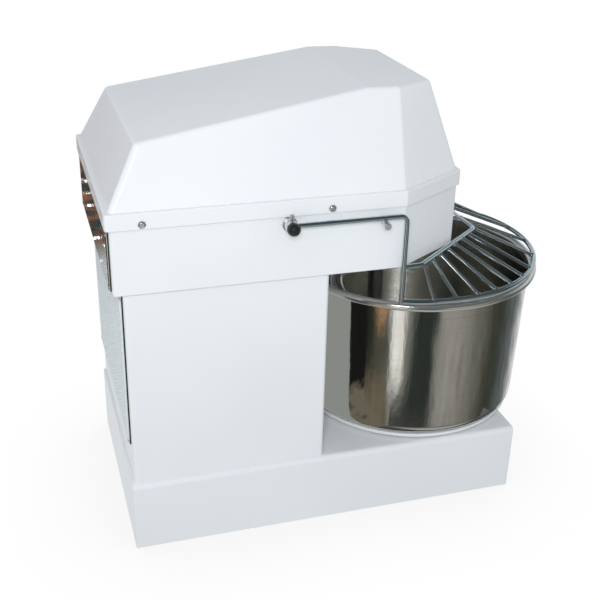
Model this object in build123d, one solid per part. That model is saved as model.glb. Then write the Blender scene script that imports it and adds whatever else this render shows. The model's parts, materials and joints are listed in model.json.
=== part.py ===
from build123d import *
import math
import os

# A spiral dough mixer in millimetres. +Z is up, the bowl is towards -Y and the origin lies on the floor
# under the middle of the whole machine.

# Folded sheet housing
SHEET = 2.0
HOOD_SHEET = 1.5
BASE_HALF_X = 195.0
BASE_Y = (-297.0, 363.5)
BASE_Z = (2.0, 122.0)
# The base is a channel bent along its long top edges, with welded end walls
BASE_BEND = 8.0
BASE_END_BEND = 2.0
BASE_FLANGE = 15.0
COLUMN_HALF_X = 188.0
COLUMN_Y = (49.5, 360.0)
COLUMN_Z = (122.0, 451.0)
COLUMN_BEND = 6.0
HEAD_HALF_X = 196.0
HEAD_NOSE_HALF_X = 123.0
HEAD_FRONT_Y = -179.0
HEAD_REAR_Y = 374.5
HEAD_Z = (451.0, 574.5)
NOSE_START_Y = -63.0
SKIRT_HALF_X = 200.0
SKIRT_NOSE_HALF_X = 126.0
SKIRT_FRONT_Y = -182.4
SKIRT_REAR_Y = 381.0
SKIRT_Z = (552.0, 576.0)
LEDGE = 6.0
HOOD_BEND = 9.0
# Block that the hood is trimmed from: half width, length range and top
HOOD_BLOCK = (260.0, (-260.0, 420.0), 760.0)
# How far each hood wall leans in per millimetre of height: front, nose side, side and rear
LEAN_FRONT = 0.368
LEAN_NOSE = 0.27
LEAN_SIDE = 0.311
LEAN_REAR = 0.516
CREASE_Y = -11.0
CREASE_Z = 719.4
ROOF_REAR_SLOPE = 0.1643
ROOF_FRONT_SLOPE = 0.017
# Rear openings: half width and height range. A shallow tray with a screw near each corner covers each of them.
COLUMN_OPENING = (168.0, (204.0, 432.0))
HEAD_OPENING = (174.0, (468.0, 534.0))
PANEL_OVERLAP = 12.0
PANEL_DEPTH = 3.0
PANEL_SHEET = 1.5
PANEL_SCREW_INSET = 7.0
PANEL_SCREW_R = 2.0
PANEL_SCREW_HEAD_R = 3.8
PANEL_SCREW_HEAD = 2.2
PANEL_SCREW_DOME = 1.8
PANEL_SCREW_LENGTH = 10.0
# Openings in the base top and the head floor below the column and the drive
SHAFTWAY = ((-150.0, 150.0), (70.0, 340.0))
HEAD_FLOOR_OPENING = ((-165.0, 165.0), (70.0, 350.0))
BOWL_OPENING_R = 50.0
SPIRAL_OPENING_R = 52.0

# Axes of the turning groups, as (x, y)
BOWL_AXIS = (0.0, -166.0)
IDLER_AXIS = (85.0, 0.0)
COUNTER_AXIS = (0.0, 100.0)
SPIRAL_AXIS = (0.0, -58.0)
MOTOR_AXIS = (0.0, 275.0)

# Pitch radius of each pulley and the middle height of each belt
MOTOR_PITCH = 30.0
COUNTER_MOTOR_PITCH = 90.0
COUNTER_SPIRAL_PITCH = 42.0
SPIRAL_PITCH = 70.0
COUNTER_BOWL_PITCH = 20.0
IDLER_LARGE_PITCH = 90.0
IDLER_SMALL_PITCH = 22.0
BOWL_PITCH = 110.0
BOWL_BELT_Z = 38.0
IDLER_BELT_Z = 76.0
MOTOR_BELT_Z = 512.0
SPIRAL_BELT_Z = 576.0
PULLEY_RIM = 4.0
PULLEY_HALF_HEIGHT = 11.0
GROOVE_DEPTH = 10.0
GROOVE_HALF_TOP = 7.0
GROOVE_HALF_BOTTOM = 5.5
BELT_HALF_WIDTH = 5.0
BELT_INSIDE = 4.0
BELT_OUTSIDE = 5.0
# Radial gap of everything that turns or is pressed on a shaft
FIT = 0.05

# Bearing housings: outer radius, bore radius, height range, flange radius, flange height range
BOWL_HOUSING = (46.0, 36.0, (56.0, 121.0), 65.0, (98.0, 110.0))
IDLER_HOUSING = (30.0, 23.5, (88.0, 118.0), 45.0, (98.0, 110.0))
COUNTER_LOW_HOUSING = (32.0, 26.0, (88.0, 118.0), 47.0, (98.0, 110.0))
COUNTER_HIGH_HOUSING = (32.0, 26.0, (455.0, 490.0), 47.0, (476.0, 486.0))
SPIRAL_HOUSING = (50.0, 40.0, (452.0, 540.0), 70.0, (476.0, 488.0))
# Bearings: height of each lower face and the width
BOWL_BEARINGS = ((60.0, 102.0), 17.0)
IDLER_BEARINGS = ((88.5, 103.5), 14.0)
COUNTER_BEARINGS = ((95.0, 465.0), 15.0)
SPIRAL_BEARINGS = ((453.0, 521.0), 18.0)

# Shafts: radius and height range
BOWL_SHAFT_R = 17.5
BOWL_SHAFT_Z = (24.0, 125.0)
SPIGOT_R = 12.5
SPIGOT_TOP = 139.0
IDLER_SHAFT_R = 10.0
IDLER_SHAFT_Z = (24.0, 118.0)
COUNTER_SHAFT_R = 12.5
COUNTER_SHAFT_Z = (62.0, 600.0)
SPIRAL_SHAFT_R = 20.0
SPIRAL_SHAFT_Z = (412.0, 600.0)
MOTOR_SHAFT_R = 9.5
MOTOR_SHAFT_Z = (400.0, 530.0)
MOTOR_SHAFT_HOLE_R = 20.0

# Motor
MOTOR_FLANGE_R = 68.0
MOTOR_FLANGE = 10.0
MOTOR_BARREL_R = 62.0
FAN_COVER_R = 66.0
FAN_COVER_Z = (172.0, 220.0)
FAN_COVER_BEVEL = 8.0

# Inner frame
BASE_PLATE = ((-150.0, 150.0), (-270.0, 340.0), (110.0, 120.0))
HEAD_PLATE = ((-140.0, 140.0), (-130.0, 340.0), (466.0, 476.0))
POST_X = 130.0
POST_Y = 170.0
POST_HALF = 20.0
FLOOR_Z = (4.0, 6.0)
FLOOR_GAP = 1.0
FOOT_R = 20.0
FOOT_X = 150.0
FOOT_Y = (-255.0, 320.0)

# Bowl
BOWL_BOTTOM_Z = 131.0
BOWL_LOW_R = 196.3
BOWL_TOP_R = 203.0
BOWL_CORNER = 18.0
RIM_R = 7.0
RIM_Z = 379.0
TABLE_R = 190.0
TABLE_Z = (125.0, 131.0)
TABLE_EDGE = 1.5
NUT_R = 24.0
NUT_TOP = 143.0
NUT_DOME = 6.0

# Spiral hook and breaker bar
HOOK_BAR_R = 12.0
HOOK_R = 63.0
HOOK_TIP_R = 22.0
HOOK_TOP_Z = 405.0
HOOK_LOW_Z = 152.0
HOOK_TURNS = 2.1
HOOK_STEPS = 16
# Turns taken to leave the axis, turn at which the tip starts to close in, turns taken to close
HOOK_LEAVING = 0.55
HOOK_CLOSING_AT = 1.6
HOOK_CLOSING = 0.5
# Above 1 the coil falls steeply from its hub and lies flatter towards the bowl's bottom
HOOK_FLATTENING = 1.6
HUB_R = 32.0
HUB_TOP = 447.0
HUB_EDGE = 3.0
BREAKER_AXIS = (66.0, -128.0)
BREAKER_R = 14.0
BREAKER_Z = (150.0, 441.0)
BREAKER_FLANGE = (28.0, 24.0)
BREAKER_TIP = 8.0

# Guard
GUARD_X = 209.0
GUARD_PIVOT = (118.0, 540.0)
GUARD_LEG_Y = -60.5
GUARD_ROD_R = 4.0
GUARD_ROD_BEND = 10.0
# Gap that a weld fills where ring and rail are coped around the legs
WELD_GAP = 0.3
RING_Z = 400.5
RING_CENTRE_Y = -146.0
RAIL_Z = 457.0
RAIL_CORNERS = ((206.5, -91.0), (88.0, -235.5))
RAIL_BEND = 12.0
# Bars on each side: angle on the ring from its front and distance along the rail from the middle of its front
# run, each as first value and step, then the count. The front bars stand wider apart than the side bars.
BAR_R = 3.0
FRONT_BARS = ((8.5, 17.0), (32.0, 56.0), 2)
SIDE_BARS = ((40.5, 9.8), (112.0, 26.3), 7)
# Gap between pivot parts that turn past each other
PIVOT_GAP = 0.3
PIN_R = 6.0
PIN_X = (180.0, 214.0)
PIN_COLLAR_R = 10.0
BUSH_X = (184.0, 201.0)
BUSH_R = 8.0
BUSH_FLANGE_R = 11.0
HUB_X = (201.3, 215.0)
PIVOT_HUB_R = 9.0
PIVOT_HUB_EDGE = 1.0
SET_SCREW_R = 2.5
SET_SCREW_LOW = 546.1
SET_SCREW_HEAD_R = 3.3
SET_SCREW_HEAD_Z = (549.5, 559.0)
SET_SCREW_DOME = 2.5
BALL_R = 10.0
BALL_X = 221.5
POST_STOP_R = 5.5
POST_STOP_X = (196.0, 221.0)
POST_STOP_AT = (-26.5, 530.2)
POST_STOP_EDGE = 1.5

# Fasteners, buttons and electrics
SCREW_R = 2.5
SCREW_HEAD_R = 5.5
SCREW_HEAD = 4.0
SCREW_DOME = 2.8
SCREW_LENGTH = 12.0
SCREW_HOLE_R = 2.6
HOOD_SCREW_Y = (329.6, 53.6)
HOOD_SCREW_Z = 559.0
BUTTON_X = 45.0
BUTTON_Z = 505.0
BUTTON_R = 11.0
BUTTON_GAP = 0.4
BUTTON_Y = (-190.0, -166.0)
BUTTON_EDGE = 1.5
BEZEL_R = 16.0
BEZEL_EDGE = 2.0
BEZEL_BARREL_R = 12.5
BEZEL_Y = (-184.0, -165.0)
CONTACT_Y = (-165.0, -128.0)
CONTACT_POCKET = 7.0
CONTACT_HALF = 16.0
GLAND_Y = 300.0
GLAND_Z = 45.0
GLAND_R = 8.0
GLAND_NUT_R = 13.0
GLAND_NUT = 7.0
GLAND_INSIDE = 12.0
GLAND_OUTSIDE = 20.0
GLAND_CAP_R = 11.0
GLAND_DOME = 4.0
GLAND_BORE_R = 4.0
CONTROL_BOX = ((110.0, 186.0), (220.0, 320.0), (180.0, 330.0))

FROM_BOTTOM = (Align.CENTER, Align.CENTER, Align.MIN)


def rod(start, end, radius):
    """Straight round bar between two points."""
    axis = Vector(*end) - Vector(*start)
    return Plane(origin=start, z_dir=axis) * Cylinder(radius, axis.length, align=FROM_BOTTOM)


def upright(radius, z, at=(0.0, 0.0)):
    """Round bar standing between two heights."""
    return Pos(at[0], at[1], z[0]) * Cylinder(radius, z[1] - z[0], align=FROM_BOTTOM)


def tube(outer, inner, z, at=(0.0, 0.0)):
    return upright(outer, z, at) - upright(inner, z, at)


def block(x, y, z):
    """Box from a low and a high value on each axis."""
    size = [high - low for low, high in (x, y, z)]
    middle = [(high + low) / 2 for low, high in (x, y, z)]
    return Pos(*middle) * Box(*size)


def grown(span, amount):
    return (span[0] - amount, span[1] + amount)


def rounded_block(half_x, y, z, bend):
    """Upright box with bent corners."""
    outline = RectangleRounded(2 * half_x, y[1] - y[0], bend)
    return Pos(0, sum(y) / 2, z[0]) * extrude(outline, z[1] - z[0])


def channel(half_x, y, z, bend):
    """Box along Y whose two long top edges are bent."""
    corners = [(-half_x, z[0]), (half_x, z[0]), (half_x, z[1]), (-half_x, z[1])]
    section = make_face(Polyline(*corners, close=True))
    section = fillet(section.vertices().group_by(Axis.Y)[-1], bend)
    rear = Plane(origin=(0, y[1], 0), x_dir=(1, 0, 0), z_dir=(0, -1, 0))
    return rear * extrude(section, y[1] - y[0], dir=(0, 0, 1))


def prism(points, z, bend, inset=0.0):
    """Upright body over a plan outline, moved in by `inset` with its corners bent."""
    face = make_face(Polyline(*points, close=True))
    if inset:
        face = offset(face, amount=-inset, kind=Kind.INTERSECTION)
    face = fillet(face.vertices(), bend)
    return Pos(0, 0, z[0]) * extrude(face, z[1] - z[0], dir=(0, 0, 1))


def lathe(points, at=(0.0, 0.0)):
    """Turned piece from its (radius, height) outline."""
    face = Plane.XZ * make_face(Polyline(*points, close=True))
    return Pos(at[0], at[1], 0) * revolve(face, Axis.Z)


def bent_rod(points, radius, bend):
    path = FilletPolyline(*points, radius=bend)
    return sweep(Plane(origin=path @ 0, z_dir=path % 0) * Circle(radius), path=path)


def both_sides(shape):
    return [shape, mirror(shape, about=Plane.YZ)]


def group(shapes):
    """One node made of several separate solids."""
    return Compound(children=[solid for shape in shapes for solid in shape.solids()])


def nose_outline(half_x, nose_half_x, front_y, rear_y):
    """Plan outline of the head, anticlockwise from the front right corner of the nose."""
    right = [(nose_half_x, front_y), (half_x, NOSE_START_Y), (half_x, rear_y)]
    left = [(-x, y) for x, y in reversed(right)]
    return right + left


HEAD_OUTLINE = nose_outline(HEAD_HALF_X, HEAD_NOSE_HALF_X, HEAD_FRONT_Y, HEAD_REAR_Y)
SKIRT_OUTLINE = nose_outline(SKIRT_HALF_X, SKIRT_NOSE_HALF_X, SKIRT_FRONT_Y, SKIRT_REAR_Y)


def side_hole(y, z, radius):
    """Cutter through both side walls of the head."""
    return rod((-SKIRT_HALF_X - 1, y, z), (SKIRT_HALF_X + 1, y, z), radius)


def hood_screw_holes(body):
    for y in HOOD_SCREW_Y:
        body -= side_hole(y, HOOD_SCREW_Z, SCREW_HOLE_R)
    return body


def feet():
    return group([upright(FOOT_R, (0.0, FLOOR_Z[0]), (x, y)) for x in (-FOOT_X, FOOT_X) for y in FOOT_Y])


def base_shell():
    inside_y = grown(BASE_Y, -SHEET)
    outside = channel(BASE_HALF_X, BASE_Y, BASE_Z, BASE_BEND)
    outside = fillet(outside.edges().filter_by(Axis.Z), BASE_END_BEND)
    inside = channel(BASE_HALF_X - SHEET, inside_y, (FLOOR_Z[0], BASE_Z[1] - SHEET), BASE_BEND - SHEET)
    below = rounded_block(BASE_HALF_X - SHEET - BASE_FLANGE, grown(inside_y, -BASE_FLANGE),
                          (BASE_Z[0] - 1, FLOOR_Z[1]), BASE_BEND)
    top = (BASE_Z[1] - 2 * SHEET, BASE_Z[1] + 1)
    shell = outside - inside - below
    shell -= upright(BOWL_OPENING_R, top, BOWL_AXIS)
    shell -= block(*SHAFTWAY, top)
    through_wall = [(BASE_HALF_X + x, GLAND_Y, GLAND_Z) for x in (-2 * SHEET, SHEET)]
    return shell - rod(*through_wall, GLAND_R + FIT)


def base_floor():
    gap = SHEET + FLOOR_GAP
    return rounded_block(BASE_HALF_X - gap, grown(BASE_Y, -gap), FLOOR_Z, BASE_END_BEND)


def base_plate():
    plate = block(*BASE_PLATE)
    housings = ((BOWL_AXIS, BOWL_HOUSING), (IDLER_AXIS, IDLER_HOUSING), (COUNTER_AXIS, COUNTER_LOW_HOUSING))
    for axis, sizes in housings:
        plate -= upright(sizes[0] + FIT, BASE_PLATE[2], axis)
    return plate


def frame_posts():
    heights = (BASE_PLATE[2][1], HEAD_PLATE[2][0])
    post = block(grown((POST_X, POST_X), POST_HALF), grown((POST_Y, POST_Y), POST_HALF), heights)
    return group(both_sides(post))


def head_plate():
    plate = block(*HEAD_PLATE)
    holes = ((SPIRAL_AXIS, SPIRAL_HOUSING[0]), (COUNTER_AXIS, COUNTER_HIGH_HOUSING[0]),
             (MOTOR_AXIS, MOTOR_SHAFT_HOLE_R))
    for axis, radius in holes:
        plate -= upright(radius + FIT, HEAD_PLATE[2], axis)
    return plate


def panel_screw_places(opening):
    """Middle of the overlap at each corner of a rear opening, as (x, z)."""
    half_x, (low, high) = opening
    return [(x, z) for x in (-half_x - PANEL_SCREW_INSET, half_x + PANEL_SCREW_INSET)
            for z in (low - PANEL_SCREW_INSET, high + PANEL_SCREW_INSET)]


def panel_screw_hole(x, z, rear_y):
    return rod((x, rear_y - SHEET - 1, z), (x, rear_y + PANEL_DEPTH + 1, z), PANEL_SCREW_R + FIT)


def rear_opening(body, opening, rear_y):
    """Cut a rear opening and the holes for the screws of its panel."""
    half_x, z = opening
    body -= block((-half_x, half_x), grown((rear_y - SHEET, rear_y), 1.0), z)
    for place in panel_screw_places(opening):
        body -= panel_screw_hole(*place, rear_y)
    return body


def rear_panel(opening, rear_y):
    """Shallow tray with a folded edge, solid where it lies on the wall around the opening."""
    half_x, z = opening
    x = (-half_x, half_x)
    tray = block(grown(x, PANEL_OVERLAP), (rear_y, rear_y + PANEL_DEPTH), grown(z, PANEL_OVERLAP))
    tray -= block(x, (rear_y - 1, rear_y + PANEL_DEPTH - PANEL_SHEET), z)
    for place in panel_screw_places(opening):
        tray -= panel_screw_hole(*place, rear_y)
    return tray


def column_shell():
    outside = rounded_block(COLUMN_HALF_X, COLUMN_Y, COLUMN_Z, COLUMN_BEND)
    inside = rounded_block(COLUMN_HALF_X - SHEET, grown(COLUMN_Y, -SHEET), COLUMN_Z, COLUMN_BEND - SHEET)
    return rear_opening(outside - inside, COLUMN_OPENING, COLUMN_Y[1])


def column_rear_panel():
    return rear_panel(COLUMN_OPENING, COLUMN_Y[1])


def head_shell():
    outside = prism(HEAD_OUTLINE, HEAD_Z, COLUMN_BEND)
    outside = fillet(outside.faces().sort_by(Axis.Z)[0].edges(), SHEET)
    inside = prism(HEAD_OUTLINE, (HEAD_Z[0] + SHEET, HEAD_Z[1]), COLUMN_BEND - SHEET, SHEET)
    floor = (HEAD_Z[0] - 1, HEAD_Z[0] + 2 * SHEET)
    shell = outside - inside
    shell -= upright(SPIRAL_OPENING_R, floor, SPIRAL_AXIS)
    shell -= block(*HEAD_FLOOR_OPENING, floor)
    shell = hood_screw_holes(rear_opening(shell, HEAD_OPENING, HEAD_REAR_Y))
    shell -= side_hole(*GUARD_PIVOT, BUSH_R + FIT)
    for x in (-BUTTON_X, BUTTON_X):
        shell -= rod((x, HEAD_FRONT_Y - 1, BUTTON_Z), (x, HEAD_FRONT_Y + 5, BUTTON_Z), BEZEL_BARREL_R + FIT)
    return shell


def head_rear_panel():
    return rear_panel(HEAD_OPENING, HEAD_REAR_Y)


def panel_screws():
    """Domed screws that hold both rear panels."""
    screws = []
    for opening, rear_y in ((COLUMN_OPENING, COLUMN_Y[1]), (HEAD_OPENING, HEAD_REAR_Y)):
        seat = rear_y + PANEL_DEPTH
        for x, z in panel_screw_places(opening):
            head = rod((x, seat, z), (x, seat + PANEL_SCREW_HEAD, z), PANEL_SCREW_HEAD_R)
            head = fillet(head.faces().sort_by(Axis.Y)[-1].edges(), PANEL_SCREW_DOME)
            screws.append(head + rod((x, seat - PANEL_SCREW_LENGTH, z), (x, seat, z), PANEL_SCREW_R))
    return group(screws)


def hood_planes(inset):
    """Outward planes of the hood walls and roof, all moved in by `inset`."""
    leans = (LEAN_NOSE, LEAN_SIDE, LEAN_REAR, LEAN_SIDE, LEAN_NOSE, LEAN_FRONT)
    corners = [Vector(x, y, SKIRT_Z[1]) for x, y in SKIRT_OUTLINE]
    planes = []
    for i, lean in enumerate(leans):
        start, end = corners[i], corners[(i + 1) % len(corners)]
        edge = (end - start).normalized()
        out = Vector(edge.Y, -edge.X, 0)
        normal = (out + Vector(0, 0, lean)).normalized()
        planes.append((start - out * LEDGE - normal * inset, normal))
    for slope in (ROOF_REAR_SLOPE, -ROOF_FRONT_SLOPE):
        normal = Vector(0, slope, 1).normalized()
        planes.append((Vector(0, CREASE_Y, CREASE_Z) - normal * inset, normal))
    return [Plane(origin=origin, z_dir=normal) for origin, normal in planes]


def hood_body(inset, floor, bend):
    """Faceted roof as a solid: a block trimmed by every wall plane, its edges rounded."""
    half_x, y, roof = HOOD_BLOCK
    body = block((-half_x, half_x), y, (floor, roof))
    for plane in hood_planes(inset):
        body = split(body, bisect_by=plane, keep=Keep.BOTTOM)
    edges = [edge for edge in body.edges() if edge.center().Z > floor + 1]
    return fillet(edges, bend)


def hood():
    ledge = SKIRT_Z[1] - HOOD_SHEET
    skirt = prism(SKIRT_OUTLINE, SKIRT_Z, COLUMN_BEND)
    skirt = fillet(skirt.faces().sort_by(Axis.Z)[-1].edges(), HOOD_SHEET)
    outside = skirt + hood_body(0.0, SKIRT_Z[1], HOOD_BEND)
    inside = prism(SKIRT_OUTLINE, (SKIRT_Z[0] - 1, ledge), COLUMN_BEND - HOOD_SHEET, HOOD_SHEET)
    inside += hood_body(HOOD_SHEET, ledge, HOOD_BEND - HOOD_SHEET)
    return hood_screw_holes(outside - inside)


def hood_screws():
    screws = []
    for y in HOOD_SCREW_Y:
        seat = (SKIRT_HALF_X, y, HOOD_SCREW_Z)
        head = rod(seat, (SKIRT_HALF_X + SCREW_HEAD, y, HOOD_SCREW_Z), SCREW_HEAD_R)
        head = fillet(head.faces().sort_by(Axis.X)[-1].edges(), SCREW_DOME)
        screws += both_sides(head + rod((SKIRT_HALF_X - SCREW_LENGTH, y, HOOD_SCREW_Z), seat, SCREW_R))
    return group(screws)


def bowl_profile(inset):
    """Half section of the bowl as a filled cup, moved in by the sheet thickness."""
    bottom = BOWL_BOTTOM_Z + inset
    face = make_face(Polyline((0, bottom), (BOWL_LOW_R - inset, bottom), (BOWL_TOP_R - inset, RIM_Z),
                              (0, RIM_Z), close=True))
    corner = face.vertices().sort_by(lambda v: v.X - v.Y)[-1]
    return fillet(corner, BOWL_CORNER - inset)


def bowl():
    rim = Pos(BOWL_TOP_R - SHEET + RIM_R, RIM_Z) * Circle(RIM_R)
    section = bowl_profile(0.0) - bowl_profile(SHEET) + rim
    body = Pos(*BOWL_AXIS) * revolve(Plane.XZ * section, Axis.Z)
    return body - upright(SPIGOT_R + FIT, grown((BOWL_BOTTOM_Z, BOWL_BOTTOM_Z), 5.0), BOWL_AXIS)


def turntable():
    disc = fillet(upright(TABLE_R, TABLE_Z, BOWL_AXIS).edges(), TABLE_EDGE)
    return disc - upright(SPIGOT_R + FIT, grown(TABLE_Z, 1.0), BOWL_AXIS)


def bowl_nut():
    seat = BOWL_BOTTOM_Z + SHEET
    nut = fillet(upright(NUT_R, (seat, NUT_TOP), BOWL_AXIS).faces().sort_by(Axis.Z)[-1].edges(), NUT_DOME)
    return nut - upright(SPIGOT_R + FIT, (seat - 1, SPIGOT_TOP), BOWL_AXIS)


def bowl_shaft():
    spigot = upright(SPIGOT_R, (BOWL_SHAFT_Z[1], SPIGOT_TOP), BOWL_AXIS)
    return upright(BOWL_SHAFT_R, BOWL_SHAFT_Z, BOWL_AXIS) + spigot


def housing(axis, sizes):
    """Turned bearing housing with a mounting flange."""
    radius, bore, z, flange_r, flange_z = sizes
    return tube(radius, bore + FIT, z, axis) + tube(flange_r, bore + FIT, flange_z, axis)


def bearings(axis, shaft_r, bore, places):
    """Ball bearings between a shaft and the bore of its housing."""
    lows, width = places
    return group([tube(bore, shaft_r + FIT, (low, low + width), axis) for low in lows])


def bowl_housing():
    return housing(BOWL_AXIS, BOWL_HOUSING)


def bowl_bearings():
    return bearings(BOWL_AXIS, BOWL_SHAFT_R, BOWL_HOUSING[1], BOWL_BEARINGS)


def idler_housing():
    return housing(IDLER_AXIS, IDLER_HOUSING)


def idler_bearings():
    return bearings(IDLER_AXIS, IDLER_SHAFT_R, IDLER_HOUSING[1], IDLER_BEARINGS)


def counter_housings():
    return group([housing(COUNTER_AXIS, COUNTER_LOW_HOUSING), housing(COUNTER_AXIS, COUNTER_HIGH_HOUSING)])


def counter_bearings():
    return bearings(COUNTER_AXIS, COUNTER_SHAFT_R, COUNTER_LOW_HOUSING[1], COUNTER_BEARINGS)


def spiral_housing():
    return housing(SPIRAL_AXIS, SPIRAL_HOUSING)


def spiral_bearings():
    return bearings(SPIRAL_AXIS, SPIRAL_SHAFT_R, SPIRAL_HOUSING[1], SPIRAL_BEARINGS)


def pulley(pitch, z, bore, axis):
    """Grooved belt pulley centred on the height of its belt."""
    outer = pitch + PULLEY_RIM
    low, high = z - PULLEY_HALF_HEIGHT, z + PULLEY_HALF_HEIGHT
    outline = [(bore + FIT, low), (outer, low), (outer, z - GROOVE_HALF_TOP),
               (outer - GROOVE_DEPTH, z - GROOVE_HALF_BOTTOM), (outer - GROOVE_DEPTH, z + GROOVE_HALF_BOTTOM),
               (outer, z + GROOVE_HALF_TOP), (outer, high), (bore + FIT, high)]
    return lathe(outline, axis)


def belt(axis_a, pitch_a, axis_b, pitch_b, z):
    """Closed belt around two pulleys, a band between two hulls."""
    hulls = []
    for extra in (BELT_OUTSIDE, -BELT_INSIDE):
        round_a = Pos(*axis_a) * Circle(pitch_a + extra)
        round_b = Pos(*axis_b) * Circle(pitch_b + extra)
        hulls.append(make_hull(round_a.edges() + round_b.edges()))
    return Pos(0, 0, z - BELT_HALF_WIDTH) * extrude(hulls[0] - hulls[1], 2 * BELT_HALF_WIDTH, dir=(0, 0, 1))


def bowl_pulley():
    return pulley(BOWL_PITCH, BOWL_BELT_Z, BOWL_SHAFT_R, BOWL_AXIS)


def bowl_belt():
    return belt(BOWL_AXIS, BOWL_PITCH, IDLER_AXIS, IDLER_SMALL_PITCH, BOWL_BELT_Z)


def idler_pulley():
    """Stepped pulley: the small groove below, the large one above, a sleeve between them."""
    sleeve = (BOWL_BELT_Z + PULLEY_HALF_HEIGHT, IDLER_BELT_Z - PULLEY_HALF_HEIGHT)
    small = pulley(IDLER_SMALL_PITCH, BOWL_BELT_Z, IDLER_SHAFT_R, IDLER_AXIS)
    large = pulley(IDLER_LARGE_PITCH, IDLER_BELT_Z, IDLER_SHAFT_R, IDLER_AXIS)
    return small + tube(IDLER_SMALL_PITCH, IDLER_SHAFT_R + FIT, sleeve, IDLER_AXIS) + large


def idler_belt():
    return belt(IDLER_AXIS, IDLER_LARGE_PITCH, COUNTER_AXIS, COUNTER_BOWL_PITCH, IDLER_BELT_Z)


def idler_shaft():
    return upright(IDLER_SHAFT_R, IDLER_SHAFT_Z, IDLER_AXIS)


def counter_shaft():
    return upright(COUNTER_SHAFT_R, COUNTER_SHAFT_Z, COUNTER_AXIS)


def counter_motor_pulley():
    return pulley(COUNTER_MOTOR_PITCH, MOTOR_BELT_Z, COUNTER_SHAFT_R, COUNTER_AXIS)


def counter_spiral_pulley():
    return pulley(COUNTER_SPIRAL_PITCH, SPIRAL_BELT_Z, COUNTER_SHAFT_R, COUNTER_AXIS)


def counter_bowl_pulley():
    return pulley(COUNTER_BOWL_PITCH, IDLER_BELT_Z, COUNTER_SHAFT_R, COUNTER_AXIS)


def motor_belt():
    return belt(MOTOR_AXIS, MOTOR_PITCH, COUNTER_AXIS, COUNTER_MOTOR_PITCH, MOTOR_BELT_Z)


def spiral_belt():
    return belt(COUNTER_AXIS, COUNTER_SPIRAL_PITCH, SPIRAL_AXIS, SPIRAL_PITCH, SPIRAL_BELT_Z)


def spiral_pulley():
    return pulley(SPIRAL_PITCH, SPIRAL_BELT_Z, SPIRAL_SHAFT_R, SPIRAL_AXIS)


def spiral_shaft():
    return upright(SPIRAL_SHAFT_R, SPIRAL_SHAFT_Z, SPIRAL_AXIS)


def motor_body():
    """Upright motor hung under the head plate: flange, barrel and fan cover in one."""
    top = HEAD_PLATE[2][0]
    low, high = FAN_COVER_Z
    bore = MOTOR_SHAFT_R + FIT
    pocket = MOTOR_SHAFT_Z[0] - 1
    flange = [(bore, top), (MOTOR_FLANGE_R, top), (MOTOR_FLANGE_R, top - MOTOR_FLANGE)]
    barrel = [(MOTOR_BARREL_R, top - MOTOR_FLANGE), (MOTOR_BARREL_R, high)]
    cover = [(FAN_COVER_R, high), (FAN_COVER_R, low + FAN_COVER_BEVEL), (FAN_COVER_R - FAN_COVER_BEVEL, low)]
    return lathe(flange + barrel + cover + [(0.0, low), (0.0, pocket), (bore, pocket)], MOTOR_AXIS)


def motor_shaft():
    return upright(MOTOR_SHAFT_R, MOTOR_SHAFT_Z, MOTOR_AXIS)


def motor_pulley():
    return pulley(MOTOR_PITCH, MOTOR_BELT_Z, MOTOR_SHAFT_R, MOTOR_AXIS)


def smooth(t):
    t = min(max(t, 0.0), 1.0)
    return t * t * (3 - 2 * t)


def hook_point(turn):
    """Centre line of the hook: out from the axis, round and down the coil, then in again at the tip."""
    closed = smooth((turn - HOOK_CLOSING_AT) / HOOK_CLOSING)
    radius = HOOK_R * smooth(turn / HOOK_LEAVING) - (HOOK_R - HOOK_TIP_R) * closed
    left = 1 - turn / HOOK_TURNS
    z = HOOK_LOW_Z + (HOOK_TOP_Z - HOOK_LOW_Z) * left ** HOOK_FLATTENING
    angle = math.tau * turn
    return Vector(SPIRAL_AXIS[0] + radius * math.cos(angle), SPIRAL_AXIS[1] + radius * math.sin(angle), z)


def hook_direction(turn):
    step = 1e-4
    ahead = hook_point(min(turn + step, HOOK_TURNS))
    return (ahead - hook_point(max(turn - step, 0.0))).normalized()


def biarc(p0, t0, p1, t1):
    """Two circular arcs that leave p0 along t0, reach p1 along t1 and meet smoothly."""
    v = p1 - p0
    t = t0 + t1
    bend = 2 * (1 - t0.dot(t1))
    reach = (math.sqrt(v.dot(t) ** 2 + bend * v.dot(v)) - v.dot(t)) / bend
    knee_a = p0 + t0 * reach
    knee_b = p1 - t1 * reach
    middle = (knee_a + knee_b) * 0.5
    return [TangentArc(p0, middle, tangent=t0), TangentArc(middle, p1, tangent=knee_b - knee_a)]


def spiral_hook():
    turns = [HOOK_TURNS * i / HOOK_STEPS for i in range(HOOK_STEPS + 1)]
    arcs = []
    for a, b in zip(turns, turns[1:]):
        arcs += biarc(hook_point(a), hook_direction(a), hook_point(b), hook_direction(b))
    path = Wire([arc.edge() for arc in arcs])
    bar = sweep(Plane(origin=hook_point(0.0), z_dir=hook_direction(0.0)) * Circle(HOOK_BAR_R), path=path)
    tip = Pos(*hook_point(HOOK_TURNS)) * Sphere(HOOK_BAR_R)
    hub = fillet(upright(HUB_R, (HOOK_TOP_Z, HUB_TOP), SPIRAL_AXIS).edges(), HUB_EDGE)
    socket = upright(SPIRAL_SHAFT_R + FIT, (SPIRAL_SHAFT_Z[0], HUB_TOP + 1), SPIRAL_AXIS)
    return bar + tip + (hub - socket)


def breaker_bar():
    x, y = BREAKER_AXIS
    bar = fillet(upright(BREAKER_R, BREAKER_Z, BREAKER_AXIS).faces().sort_by(Axis.Z)[0].edges(), BREAKER_TIP)
    half_x, half_y = BREAKER_FLANGE
    return bar + block(grown((x, x), half_x), grown((y, y), half_y), (BREAKER_Z[1], HEAD_Z[0]))


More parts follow.
